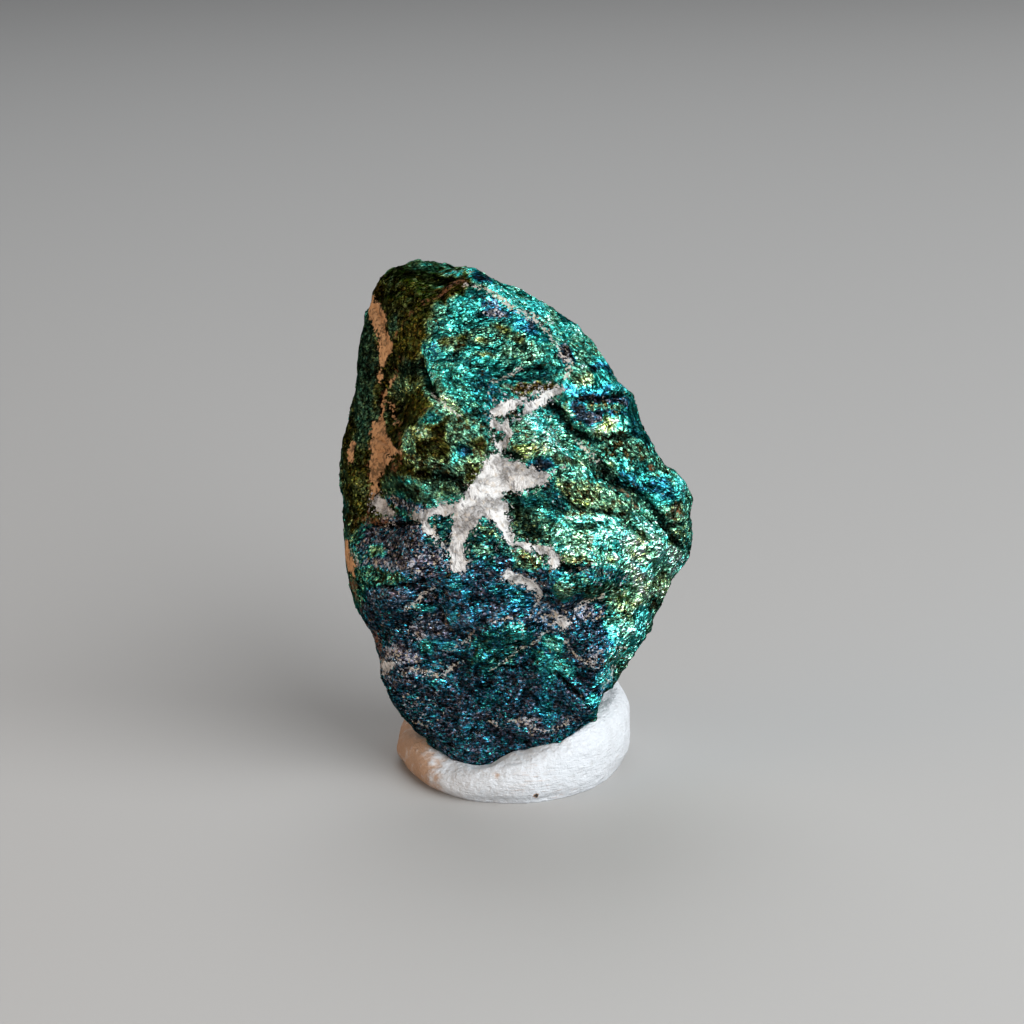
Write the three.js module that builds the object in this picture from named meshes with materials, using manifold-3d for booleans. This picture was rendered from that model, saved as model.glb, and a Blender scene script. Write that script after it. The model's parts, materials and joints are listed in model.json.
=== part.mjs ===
// Peacock ore: one upright chunk of tarnished copper ore, its foot pressed into a pad of white mounting putty.
// Millimetres, +Z up, the display side faces -Y. The origin is the middle of the pad's flat underside.
import * as THREE from "three";
import { ImprovedNoise } from "three/addons/math/ImprovedNoise.js";
import { mergeVertices } from "three/addons/utils/BufferGeometryUtils.js";
import Module from "manifold-3d";

// ---- Driving dimensions -------------------------------------------------------------------------------------

const MIDDLE_HEIGHT = 26.5; // the chunk's middle, above the surface
const DISPLAY_TILT = THREE.MathUtils.degToRad(19.25); // the display side is drawn square to a line this far above level
const STONE_DETAIL = 19; // splits of each icosahedron edge: 20 * (detail + 1)^2 triangles
const STONE_HALVES = [17.5, 26, 13]; // half of the chunk's width, height and depth: spreads the triangles evenly
const EDGE_SHARPNESS = 40; // how crisply neighbouring faces meet: 8 is a pebble, 60 a cut stone
const GIRTH_TAPER = 0.14; // how fast the girth draws in, in front of and behind its widest line
const GIRTH_CALM = 0.4; // the share of the chips and unevenness that is left at the girth
const RELAX_PASSES = 1; // smoothing of the finished surface
const LOWEST_STONE = 1.2; // the foot stays this far above the surface, inside the pad

const SEAT_GAP = 0.3; // between the chunk and the dimple that it has pressed
const PAD_RADIUS = 12.2;
const PAD_THIN = 2.6; // the pad's height at its left
const PAD_THICK = 7.5; // its height at its right
const PAD_SLOPE = [-8, 12]; // where the slope between the two begins and ends, across the pad
const PAD_SECTORS = 56;
const PAD_RINGS = 5; // rings of the side's bulge

// The girth: the chunk's outline as its display side shows it, in right and up, from the crown clockwise.
const GIRTH = [
  [-4.7, 25.0],
  [-3.0, 24.2],
  [-1.2, 22.9],
  [0.8, 21.9],
  [3.3, 20.6],
  [4.9, 19.5],
  [6.4, 18.7],
  [7.8, 17.1],
  [8.8, 15.4],
  [9.9, 13.6],
  [10.9, 12.3],
  [12.0, 11.3],
  [12.6, 9.0],
  [13.4, 6.9],
  [14.2, 5.5],
  [15.5, 4.4],
  [17.0, 3.1],
  [17.5, 1.0],
  [17.6, -2.6],
  [17.4, -5.2],
  [16.4, -6.8],
  [14.9, -8.9],
  [13.4, -11.3],
  [12.0, -13.8],
  [10.5, -16.0],
  [8.8, -18.4],
  [6.6, -22.0],
  [3.4, -25.0],
  [-0.6, -25.9],
  [-4.0, -25.5],
  [-8.3, -23.6],
  [-10.2, -22.1],
  [-11.6, -20.0],
  [-12.8, -17.7],
  [-13.7, -14.2],
  [-14.8, -11.0],
  [-16.0, -8.0],
  [-16.4, -4.8],
  [-16.9, -0.8],
  [-17.4, 2.2],
  [-17.2, 5.2],
  [-16.7, 7.4],
  [-16.0, 11.1],
  [-15.6, 16.1],
  [-15.2, 19.1],
  [-14.4, 22.1],
  [-12.9, 23.8],
  [-11.0, 24.5],
  [-8.6, 25.1],
];

// The broken faces that cut the girth's block to depth. Each has an outward normal, as right, up and out of the
// display side, and a distance from the middle of the chunk.
const FACES = [
  { name: "high cheek", normal: [-0.79, 0.1, 0.61], distance: 14.0 },
  { name: "low cheek", normal: [-0.9, -0.02, 0.43], distance: 16.3 },
  { name: "upper panel", normal: [0.1, 0.24, 0.96], distance: 13.4 },
  { name: "crown bevel", normal: [-0.35, 0.68, 0.64], distance: 21.8 },
  { name: "right shoulder", normal: [0.55, 0.55, 0.62], distance: 16.6 },
  { name: "belly", normal: [-0.06, -0.04, 1.0], distance: 12.1 },
  { name: "lower front", normal: [-0.12, -0.5, 0.86], distance: 12.9 },
  { name: "right front", normal: [0.52, 0.1, 0.85], distance: 12.9 },
  { name: "right front low", normal: [0.62, -0.34, 0.7], distance: 14.6 },
  { name: "lower left", normal: [-0.62, -0.42, 0.66], distance: 16.3 },
  { name: "back", normal: [0.1, 0.36, -0.93], distance: 11.2 },
  { name: "low back", normal: [-0.1, -0.1, -0.99], distance: 12.0 },
  { name: "left back", normal: [-0.68, 0.2, -0.7], distance: 14.2 },
  { name: "right back", normal: [0.66, 0.25, -0.7], distance: 13.6 },
  { name: "right back low", normal: [0.62, -0.42, -0.66], distance: 16.2 },
  { name: "left back low", normal: [-0.66, -0.38, -0.65], distance: 16.6 },
  { name: "crown back", normal: [0.05, 0.82, -0.57], distance: 21.6 },
];

// Swells and dishes on the broken faces: where they are in right and up, on the display side or on the back.
const SWELLS = [
  { name: "olive swell", at: [-7.4, 5.8], side: 1, reach: [4.6, 5.4], rise: 1.3 },
  { name: "upper dish", at: [-1.2, 17.0], side: 1, reach: [5.2, 3.8], rise: -0.9 },
  { name: "lower left swell", at: [-10.6, -4.9], side: 1, reach: [4.4, 3.6], rise: 0.9 },
  { name: "right ledge swell", at: [9.8, 1.6], side: 1, reach: [4.4, 2.4], rise: 1.0 },
  { name: "spine swell", at: [14.0, 1.6], side: 1, reach: [2.2, 3.6], rise: 0.7 },
  { name: "mint swell", at: [10.6, -5.6], side: 1, reach: [5.0, 3.4], rise: 0.8 },
  { name: "lower belly swell", at: [-2.4, -13.2], side: 1, reach: [7.0, 4.6], rise: 0.7 },
  { name: "back hollow", at: [3.5, 7.0], side: -1, reach: [5.0, 7.0], rise: -1.6 },
  { name: "back swell", at: [-5.5, -4.0], side: -1, reach: [5.5, 6.0], rise: 1.3 },
  { name: "back heel", at: [4.0, -14.0], side: -1, reach: [6.0, 5.0], rise: 1.0 },
];

// Open breaks in the display side: the route of each in right and up, with its half-width and its depth.
const BREAKS = [
  {
    name: "main break",
    route: [[3.9, 10.8], [5.3, 8.9], [7.8, 6.5], [9.2, 4.3], [11.8, 2.1], [15.0, -1.0]],
    halfWidth: 2.1,
    depth: 2.0,
  },
  { name: "panel step", route: [[-8.4, 12.6], [-6.2, 11.6], [-3.8, 9.6], [-2.0, 8.0]], halfWidth: 2.0, depth: 1.0 },
  { name: "cheek slit", route: [[-11.8, 14.6], [-12.2, 11.0], [-12.3, 8.8]], halfWidth: 1.8, depth: 0.8 },
];

// Chips: the ore has split into small tilted facets, longer from the upper left to the lower right of the display
// side than across it. Sizes, tilts (slopes) and steps between neighbours, and how crisply one meets the next.
const CHIPS = { sizes: [7.5, 4.4, 5.2], slant: -0.62, tilt: 0.34, step: 0.45, crispness: 5 };
const UNEVENNESS = [
  { wavelength: 8.5, height: 0.9 },
  { wavelength: 2.6, height: 0.3 },
];

// ---- The display frame --------------------------------------------------------------------------------------

const RIGHT = new THREE.Vector3(1, 0, 0);
const UP = new THREE.Vector3(0, Math.sin(DISPLAY_TILT), Math.cos(DISPLAY_TILT));
const OUT = new THREE.Vector3(0, -Math.cos(DISPLAY_TILT), Math.sin(DISPLAY_TILT));
const MIDDLE = new THREE.Vector3(0, 0, MIDDLE_HEIGHT);

// A vector given as right, up and out of the display side, in the part's own frame.
function fromDisplay([right, up, out]) {
  return new THREE.Vector3()
    .addScaledVector(RIGHT, right)
    .addScaledVector(UP, up)
    .addScaledVector(OUT, out);
}

// A vector of the part's own frame, as right, up and out of the display side.
function toDisplay(vector) {
  return [vector.dot(RIGHT), vector.dot(UP), vector.dot(OUT)];
}

// ---- The chunk's shape --------------------------------------------------------------------------------------

const GIRTH_STEPS = 330;
const girthCurve = new THREE.CatmullRomCurve3(
  GIRTH.map(([right, up]) => new THREE.Vector3(right, up, 0)),
  true,
  "centripetal",
);
const girthPoints = girthCurve.getPoints(GIRTH_STEPS);

// How far the girth is from the middle, towards right and up.
function girthRadius(right, up) {
  const length = Math.hypot(right, up);
  const x = right / length;
  const y = up / length;
  let farthest = 0;
  for (let i = 0; i < GIRTH_STEPS; i++) {
    const a = girthPoints[i];
    const b = girthPoints[i + 1];
    const sideA = x * a.y - y * a.x;
    const sideB = x * b.y - y * b.x;
    if (sideA * sideB > 0 || sideA === sideB) continue;
    const share = sideA / (sideA - sideB);
    const reach = x * (a.x + (b.x - a.x) * share) + y * (a.y + (b.y - a.y) * share);
    farthest = Math.max(farthest, reach);
  }
  return farthest;
}

const facePlanes = FACES.map(({ normal, distance }) => ({
  normal: fromDisplay(normal).normalize(),
  distance,
}));

// How far the girth and the broken faces let the surface stand from the middle, in a direction.
function blockRadius(direction) {
  const [right, up, out] = toDisplay(direction);
  const flat = Math.hypot(right, up);
  let sum = 0;
  if (flat > 1e-6) {
    const slant = Math.abs(out) / flat;
    const radius = girthRadius(right, up) * (1 - GIRTH_TAPER * Math.min(slant, 1.5) ** 1.6);
    sum += (flat / radius) ** EDGE_SHARPNESS;
  }
  for (const { normal, distance } of facePlanes) {
    const lean = normal.dot(direction);
    if (lean > 0) sum += (lean / distance) ** EDGE_SHARPNESS;
  }
  return sum ** (-1 / EDGE_SHARPNESS);
}

const noise = new ImprovedNoise();

function noiseAt(point, wavelength, shift = 0) {
  return noise.noise(point.x / wavelength + shift, point.y / wavelength - shift, point.z / wavelength + 7.3);
}

// The distance from a point to a route, both in right and up.
function distanceToRoute(right, up, route) {
  let nearest = Infinity;
  for (let i = 0; i + 1 < route.length; i++) {
    const [ax, ay] = route[i];
    const [bx, by] = route[i + 1];
    const share = THREE.MathUtils.clamp(
      ((right - ax) * (bx - ax) + (up - ay) * (by - ay)) / ((bx - ax) ** 2 + (by - ay) ** 2),
      0,
      1,
    );
    nearest = Math.min(nearest, Math.hypot(right - ax - (bx - ax) * share, up - ay - (by - ay) * share));
  }
  return nearest;
}

// A repeatable random number from 0 to 1 for a chip's cell.
function chipRandom(i, j, k, salt) {
  let mixed = Math.imul(i + 101, 374761393) ^ Math.imul(j + 211, 668265263) ^ Math.imul(k + 307, 1274126177);
  mixed = Math.imul(mixed ^ (mixed >>> 13) ^ Math.imul(salt, 1442695041), 1103515245);
  mixed = Math.imul(mixed ^ (mixed >>> 15), 2246822519);
  return ((mixed ^ (mixed >>> 16)) >>> 0) / 4294967296;
}

// How far the chips raise the surface: each cell tilts its own patch, and the nearest cell counts most.
function chipRelief(right, up, out) {
  const along = (right * Math.cos(CHIPS.slant) + up * Math.sin(CHIPS.slant)) / CHIPS.sizes[0];
  const across = (up * Math.cos(CHIPS.slant) - right * Math.sin(CHIPS.slant)) / CHIPS.sizes[1];
  const depth = out / CHIPS.sizes[2];
  const cell = [Math.floor(along), Math.floor(across), Math.floor(depth)];
  let total = 0;
  let weights = 0;
  for (let i = cell[0] - 1; i <= cell[0] + 1; i++) {
    for (let j = cell[1] - 1; j <= cell[1] + 1; j++) {
      for (let k = cell[2] - 1; k <= cell[2] + 1; k++) {
        const away = [
          along - i - chipRandom(i, j, k, 1),
          across - j - chipRandom(i, j, k, 2),
          depth - k - chipRandom(i, j, k, 3),
        ];
        const weight = Math.exp(-CHIPS.crispness * (away[0] ** 2 + away[1] ** 2 + away[2] ** 2));
        let raised = CHIPS.step * (2 * chipRandom(i, j, k, 4) - 1);
        for (let axis = 0; axis < 3; axis++) {
          raised += CHIPS.tilt * CHIPS.sizes[axis] * away[axis] * (2 * chipRandom(i, j, k, 5 + axis) - 1);
        }
        total += weight * raised;
        weights += weight;
      }
    }
  }
  return total / weights;
}

// How far swells, breaks, chips and unevenness move the surface out at a point of the plain block.
function relief(point) {
  const [right, up, out] = toDisplay(point.clone().sub(MIDDLE));
  let rise = chipRelief(right, up, out);
  for (const { wavelength, height } of UNEVENNESS) rise += height * noiseAt(point, wavelength, wavelength);
  rise *= THREE.MathUtils.lerp(GIRTH_CALM, 1, THREE.MathUtils.smoothstep(Math.abs(out), 1, 7));
  for (const swell of SWELLS) {
    const along = (right - swell.at[0]) / swell.reach[0];
    const above = (up - swell.at[1]) / swell.reach[1];
    const facing = THREE.MathUtils.smoothstep(out * swell.side, 0, 6);
    rise += swell.rise * facing * Math.exp(-(along ** 2 + above ** 2));
  }
  for (const { route, halfWidth, depth } of BREAKS) {
    const facing = THREE.MathUtils.smoothstep(out, 0, 5);
    rise -= depth * facing * (1 - THREE.MathUtils.smoothstep(distanceToRoute(right, up, route), 0, halfWidth));
  }
  return rise;
}

// Moves every vertex part of the way to the middle of its neighbours, so that no edge is left saw-toothed.
function relax(geometry, share) {
  const position = geometry.getAttribute("position");
  const corners = geometry.index.array;
  const sums = Array.from({ length: position.count }, () => ({ total: new THREE.Vector3(), count: 0 }));
  const point = new THREE.Vector3();
  for (let i = 0; i < corners.length; i += 3) {
    for (let side = 0; side < 3; side++) {
      const from = corners[i + side];
      sums[from].total.add(point.fromBufferAttribute(position, corners[i + ((side + 1) % 3)]));
      sums[from].count += 1;
    }
  }
  for (let i = 0; i < position.count; i++) {
    const average = sums[i].total.divideScalar(sums[i].count);
    point.fromBufferAttribute(position, i).lerp(average, share);
    position.setXYZ(i, point.x, point.y, point.z);
  }
}

// The chunk as a closed surface, grown outwards by the clearance that its seat needs.
function stoneGeometry(growth = 0) {
  const sphere = new THREE.IcosahedronGeometry(1, STONE_DETAIL);
  sphere.deleteAttribute("normal");
  sphere.deleteAttribute("uv");
  const geometry = mergeVertices(sphere, 1e-5);
  const position = geometry.getAttribute("position");
  const direction = new THREE.Vector3();
  const point = new THREE.Vector3();
  for (let i = 0; i < position.count; i++) {
    direction.fromBufferAttribute(position, i);
    direction.copy(fromDisplay(direction.toArray().map((share, axis) => share * STONE_HALVES[axis]))).normalize();
    point.copy(direction).multiplyScalar(blockRadius(direction)).add(MIDDLE);
    point.addScaledVector(direction, relief(point) + growth);
    position.setXYZ(i, point.x, point.y, point.z);
  }
  for (let pass = 0; pass < RELAX_PASSES; pass++) relax(geometry, 0.5);
  for (let i = 0; i < position.count; i++) {
    position.setZ(i, Math.max(position.getZ(i), LOWEST_STONE - growth));
  }
  return geometry;
}

// ---- The putty pad ------------------------------------------------------------------------------------------

// A flat-bottomed cake with a bulging side, thicker at its right, as a closed surface.
function padGeometry() {
  const profile = [new THREE.Vector2(0, 0), new THREE.Vector2(0.93, 0)];
  for (let ring = 0; ring <= PAD_RINGS; ring++) {
    const turn = -Math.PI / 2.8 + (ring / PAD_RINGS) * (Math.PI / 2.8 + Math.PI / 2);
    profile.push(new THREE.Vector2(0.86 + 0.14 * Math.cos(turn), 0.5 + 0.5 * Math.sin(turn)));
  }
  profile.push(new THREE.Vector2(0.55, 1.03), new THREE.Vector2(0, 1.0));
  const lathe = new THREE.LatheGeometry(profile, PAD_SECTORS);
  lathe.rotateX(Math.PI / 2);
  lathe.deleteAttribute("normal");
  lathe.deleteAttribute("uv");
  const geometry = mergeVertices(lathe, 1e-5);
  const position = geometry.getAttribute("position");
  const point = new THREE.Vector3();
  for (let i = 0; i < position.count; i++) {
    point.fromBufferAttribute(position, i);
    const angle = Math.atan2(point.y, point.x);
    const radius = PAD_RADIUS * (1 - 0.02 * Math.cos(2 * angle) + 0.01 * Math.cos(3 * angle - 1.2));
    point.x *= radius;
    point.y *= radius;
    point.z *= THREE.MathUtils.lerp(PAD_THIN, PAD_THICK, THREE.MathUtils.smoothstep(point.x, ...PAD_SLOPE));
    if (point.z > 0.3) {
      point.x += 0.4 * noiseAt(point, 4.5, 1.7);
      point.z += 0.5 * noiseAt(point, 5.5, 5.2);
    }
    position.setXYZ(i, point.x, point.y, point.z);
  }
  return geometry;
}

// ---- Solids -------------------------------------------------------------------------------------------------

const wasm = await Module();
wasm.setup();

function toSolid(geometry) {
  return new wasm.Manifold(
    new wasm.Mesh({
      numProp: 3,
      vertProperties: new Float32Array(geometry.getAttribute("position").array),
      triVerts: new Uint32Array(geometry.index.array),
    }),
  );
}

function toGeometry(solid) {
  const { vertProperties, triVerts } = solid.getMesh();
  const geometry = new THREE.BufferGeometry();
  geometry.setAttribute("position", new THREE.BufferAttribute(vertProperties, 3));
  geometry.setIndex(new THREE.BufferAttribute(triVerts, 1));
  return geometry;
}

function namedMesh(name, geometry, material) {
  const mesh = new THREE.Mesh(geometry, new THREE.MeshStandardMaterial(material));
  mesh.name = name;
  return mesh;
}

const pressedPad = toSolid(padGeometry()).subtract(toSolid(stoneGeometry(SEAT_GAP)));

const specimen = new THREE.Group();
specimen.add(
  namedMesh("ore_chunk", stoneGeometry(), { color: 0x1d6f68, roughness: 0.4, metalness: 0.9 }),
  namedMesh("putty_pad", toGeometry(pressedPad), { color: 0xe8e4dd, roughness: 0.75, metalness: 0 }),
);

export default specimen;
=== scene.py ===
"""Peacock ore on its putty pad: the looks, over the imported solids.

Lengths are in millimetres; Blender's own are in metres.
"""

from __future__ import annotations

import json
import logging
import math
import sys
from dataclasses import dataclass
from enum import Enum

import bmesh
import bpy
import numpy as np
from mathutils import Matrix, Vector
from mathutils.bvhtree import BVHTree

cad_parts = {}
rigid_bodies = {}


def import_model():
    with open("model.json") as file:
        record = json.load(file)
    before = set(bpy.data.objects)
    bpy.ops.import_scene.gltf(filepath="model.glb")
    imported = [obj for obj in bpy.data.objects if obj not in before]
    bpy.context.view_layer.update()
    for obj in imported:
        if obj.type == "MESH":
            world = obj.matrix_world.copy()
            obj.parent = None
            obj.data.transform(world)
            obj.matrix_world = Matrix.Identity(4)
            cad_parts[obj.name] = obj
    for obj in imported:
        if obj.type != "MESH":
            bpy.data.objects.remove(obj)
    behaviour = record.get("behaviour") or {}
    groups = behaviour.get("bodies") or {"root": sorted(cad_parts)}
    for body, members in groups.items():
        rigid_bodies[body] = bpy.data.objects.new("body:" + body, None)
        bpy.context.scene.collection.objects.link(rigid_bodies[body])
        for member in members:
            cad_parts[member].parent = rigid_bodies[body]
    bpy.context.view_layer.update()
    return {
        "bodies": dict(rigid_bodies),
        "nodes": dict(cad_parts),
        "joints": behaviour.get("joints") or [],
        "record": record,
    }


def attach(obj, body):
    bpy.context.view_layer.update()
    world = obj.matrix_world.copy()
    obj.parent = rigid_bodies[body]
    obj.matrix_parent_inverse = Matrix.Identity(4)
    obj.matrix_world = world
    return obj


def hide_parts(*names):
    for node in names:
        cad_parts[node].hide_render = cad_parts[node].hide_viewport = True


LOG = logging.getLogger("peacock_ore")
MM = 0.001  # metres in a millimetre

Pair = tuple[float, float]
Triple = tuple[float, float, float]
Colour = Triple
Route = tuple[tuple[float, ...], ...]
Array = np.ndarray
Mesh = bpy.types.Mesh
Node = bpy.types.Node
Socket = bpy.types.NodeSocket
Tree = bpy.types.NodeTree


# ---- Where the chunk is looked at from ----


@dataclass(frozen=True)
class DisplayView:
    """The place that the display side is made to be seen from, and the flat map that its marks are drawn on.

    A place on the map is (right, up) in millimetres, at the scale of the plane through the chunk's middle.
    """

    eye: Triple = (-0.15, -285.0, 126.0)
    middle: Triple = (0.0, 0.0, 26.5)
    tilt: float = math.radians(19.25)
    lens: float = 106.7
    sensor: float = 36.0

    def axes(self) -> tuple[Array, Array, Array]:
        """Gives the map's directions.

        Returns:
            The unit vectors to the right, up, and out of the display side.
        """
        right = np.array([1.0, 0.0, 0.0])
        up = np.array([0.0, math.sin(self.tilt), math.cos(self.tilt)])
        out = np.array([0.0, -math.cos(self.tilt), math.sin(self.tilt)])
        return right, up, out

    def places(self, points: Array, behind: bool = False) -> Array:
        """Finds where points are seen on the map.

        Args:
            points: Points of the part, one a row.
            behind: Draws them as seen from straight behind, with no perspective.

        Returns:
            (right, up) on the map, one a row.
        """
        right, up, out = self.axes()
        if behind:
            away = points - np.array(self.middle)
            return np.stack([-(away @ right), away @ up], axis=1)
        away = points - np.array(self.eye)
        reach = float((np.array(self.eye) - np.array(self.middle)) @ out)
        scale = reach / -(away @ out)
        return np.stack([(away @ right) * scale, (away @ up) * scale], axis=1)

    def facing(self, normals: Array) -> Array:
        """Tells how squarely a surface faces the display side: 1 straight at it, -1 straight away."""
        return normals @ self.axes()[2]

    def make_camera(self) -> None:
        """Makes the scene's camera at the eye."""
        data = bpy.data.cameras.new("display camera")
        data.lens = self.lens
        data.sensor_width = self.sensor
        data.clip_start = 10 * MM
        data.clip_end = 20.0
        camera = bpy.data.objects.new("display camera", data)
        camera.location = Vector(self.eye) * MM
        camera.rotation_euler = (math.pi / 2 - self.tilt, 0.0, 0.0)
        bpy.context.scene.collection.objects.link(camera)
        bpy.context.scene.camera = camera


VIEW = DisplayView()


# ---- Noise for many points at once ----


class SolidNoise:
    """Repeatable noise in space, worked out for arrays of points."""

    @staticmethod
    def cell_random(cells: Array, seed: int) -> Array:
        """Gives each lattice cell its own number.

        Args:
            cells: Whole-number cell places, one a row.
            seed: Picks one of many independent sets of numbers.

        Returns:
            A number from 0 to 1 for each cell.
        """
        i, j, k = (cells[:, axis].astype(np.int64).astype(np.uint32) for axis in range(3))
        mixed = i * np.uint32(374761393) ^ j * np.uint32(668265263) ^ k * np.uint32(1274126177)
        mixed ^= np.uint32((seed * 1442695041) & 0xFFFFFFFF)
        mixed = (mixed ^ (mixed >> np.uint32(13))) * np.uint32(1103515245)
        mixed = (mixed ^ (mixed >> np.uint32(15))) * np.uint32(2246822519)
        return (mixed ^ (mixed >> np.uint32(16))) / 4294967295.0

    @classmethod
    def smooth(cls, points: Array, wavelength: float, seed: int) -> Array:
        """Gives smooth noise.

        Args:
            points: Points of the part, one a row.
            wavelength: The size of its lumps.
            seed: Picks one of many patterns.

        Returns:
            A value from -1 to 1 for each point.
        """
        spread = points / wavelength + 0.37 * seed
        base = np.floor(spread)
        share = spread - base
        share = share * share * (3.0 - 2.0 * share)
        total = np.zeros(len(points))
        for corner in np.ndindex(2, 2, 2):
            offset = np.array(corner)
            weight = np.prod(np.where(offset == 1, share, 1.0 - share), axis=1)
            total += weight * cls.cell_random(base + offset, seed)
        return 2.0 * total - 1.0

    @classmethod
    def layered(cls, points: Array, wavelength: float, seed: int, layers: int = 3) -> Array:
        """Adds finer and weaker noises to a coarse one.

        Args:
            points: Points of the part, one a row.
            wavelength: The size of the coarsest lumps.
            seed: Picks one of many patterns.
            layers: How many noises, each half as large as the one before.

        Returns:
            A value from about -1 to 1 for each point.
        """
        total = np.zeros(len(points))
        for layer in range(layers):
            total += cls.smooth(points, wavelength / 2**layer, seed + 17 * layer) / 2**layer
        return total / (2.0 - 0.5 ** (layers - 1))

    @classmethod
    def chips(cls, points: Array, sizes: Triple, slope: float, step: float,
              crispness: float, seed: int) -> Array:
        """Breaks a surface into small tilted facets, as ore splits.

        Args:
            points: Points of the part, turned so that the facets lie along their axes.
            sizes: The facets' usual size along each axis.
            slope: How steeply a facet may tilt.
            step: How much higher one facet may stand than its neighbour.
            crispness: How sharply neighbours meet.
            seed: Picks one of many patterns.

        Returns:
            The rise of the surface at each point.
        """
        spread = points / np.array(sizes)
        base = np.floor(spread)
        total = np.zeros(len(points))
        weights = np.zeros(len(points))
        for corner in np.ndindex(3, 3, 3):
            cell = base + np.array(corner) - 1.0
            centre = np.stack([cls.cell_random(cell, seed + axis) for axis in range(3)], axis=1)
            away = spread - cell - centre
            weight = np.exp(-crispness * np.sum(away * away, axis=1))
            rise = step * (2.0 * cls.cell_random(cell, seed + 3) - 1.0)
            for axis in range(3):
                tilt = 2.0 * cls.cell_random(cell, seed + 4 + axis) - 1.0
                rise += slope * sizes[axis] * away[:, axis] * tilt
            total += weight * rise
            weights += weight
        return total / weights


def ramp(values: Array, low: float, high: float) -> Array:
    """Rises smoothly from 0 at low to 1 at high, or falls where low is above high."""
    share = np.clip((values - low) / (high - low), 0.0, 1.0)
    return share * share * (3.0 - 2.0 * share)


# ---- Marks on the ore ----


class Tarnish(Enum):
    """The colours of the film on the metal, by how far its thickness has come, from 0 to 1."""

    BRONZE = 0.05
    OLIVE = 0.14
    MOSS = 0.2
    LIME = 0.27
    LEAF = 0.34
    GREEN = 0.42
    MINT = 0.5
    TURQUOISE = 0.6
    TEAL = 0.68
    CYAN = 0.75
    AZURE = 0.8
    NAVY = 0.87
    SLATE = 0.93
    ROSE = 0.99


(BRONZE, OLIVE, MOSS, LIME, LEAF, GREEN, MINT,
 TURQUOISE, TEAL, CYAN, AZURE, NAVY, SLATE, ROSE) = Tarnish


@dataclass(frozen=True)
class Patch:
    """A patch of one tarnish colour, as an ellipse with a ragged edge on the map.

    Attributes:
        name: What it is.
        at: Its middle, right and up.
        reach: Its half-width and half-height.
        tarnish: Its colour.
        lustre_and_light: How brightly its metal shines: partly its own lustre, partly painted light and
            shade.
        turn: How far it is turned anticlockwise, in degrees.
        worn: How much of the film is worn through, from 0 to 1.
        threads: How thickly pale threads run through it.
    """

    name: str
    at: Pair
    reach: Pair
    tarnish: Tarnish
    lustre_and_light: float
    turn: float = 0.0
    worn: float = 0.22
    threads: float = 0.0

    def cover(self, places: Array) -> Array:
        """Tells how much of each place it covers, from 0 to 1."""
        away = places - np.array(self.at)
        angle = math.radians(self.turn)
        along = (away[:, 0] * math.cos(angle) + away[:, 1] * math.sin(angle)) / self.reach[0]
        across = (away[:, 1] * math.cos(angle) - away[:, 0] * math.sin(angle)) / self.reach[1]
        soft = 0.35 / math.sqrt(self.reach[0] * self.reach[1])
        return ramp(np.hypot(along, across), 1.05 + soft, 1.05 - soft)

    def shake(self) -> float:
        """Tells how far its edge may stray, from 0 to 1: less for a small patch."""
        return min(1.0, 0.2 + 0.55 * math.sqrt(self.reach[0] * self.reach[1]))


@dataclass(frozen=True)
class Streak:
    """A vein, stain, thin line or break that follows a route on the map.

    Attributes:
        name: What it is.
        route: (right, up, half-width) from one end to the other.
    """

    name: str
    route: Route

    def depth_inside(self, places: Array) -> Array:
        """Measures how far inside the streak each place is: positive inside, negative outside."""
        deepest = np.full(len(places), -9.0)
        for start, end in zip(self.route, self.route[1:]):
            first, last = np.array(start[:2]), np.array(end[:2])
            line = last - first
            share = np.clip(((places - first) @ line) / float(line @ line), 0.0, 1.0)
            gap = np.linalg.norm(places - first - share[:, None] * line, axis=1)
            deepest = np.maximum(deepest, start[2] + (end[2] - start[2]) * share - gap)
        return deepest


@dataclass(frozen=True)
class Side:
    """One side of the chunk, as its marks are drawn on it.

    Attributes:
        places: Where each point of the surface lies on the side's map.
        share: How much each point belongs to the side, from 0 to 1.
        wobble: How far each point's marks are shaken out of place.
    """

    places: Array
    share: Array
    wobble: Array

    def depth(self, streaks: tuple[Streak, ...], shake: float) -> Array:
        """Measures how far inside any of some streaks each point is: far outside them all off the side."""
        places = self.places + shake * self.wobble
        inside = np.max([streak.depth_inside(places) for streak in streaks], axis=0)
        return inside - 3.0 * (1.0 - self.share)


def deepest(shake: float, *marked: tuple[Side, tuple[Streak, ...]], least: float = -2.0) -> Array:
    """Measures how far inside any of some streaks each point is.

    Args:
        shake: How strongly the streaks are shaken out of place.
        marked: Each side, with its streaks.
        least: What a point far outside them all is given.

    Returns:
        The depth at each point.
    """
    return np.maximum(np.max([side.depth(streaks, shake) for side, streaks in marked], axis=0), least)


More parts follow.
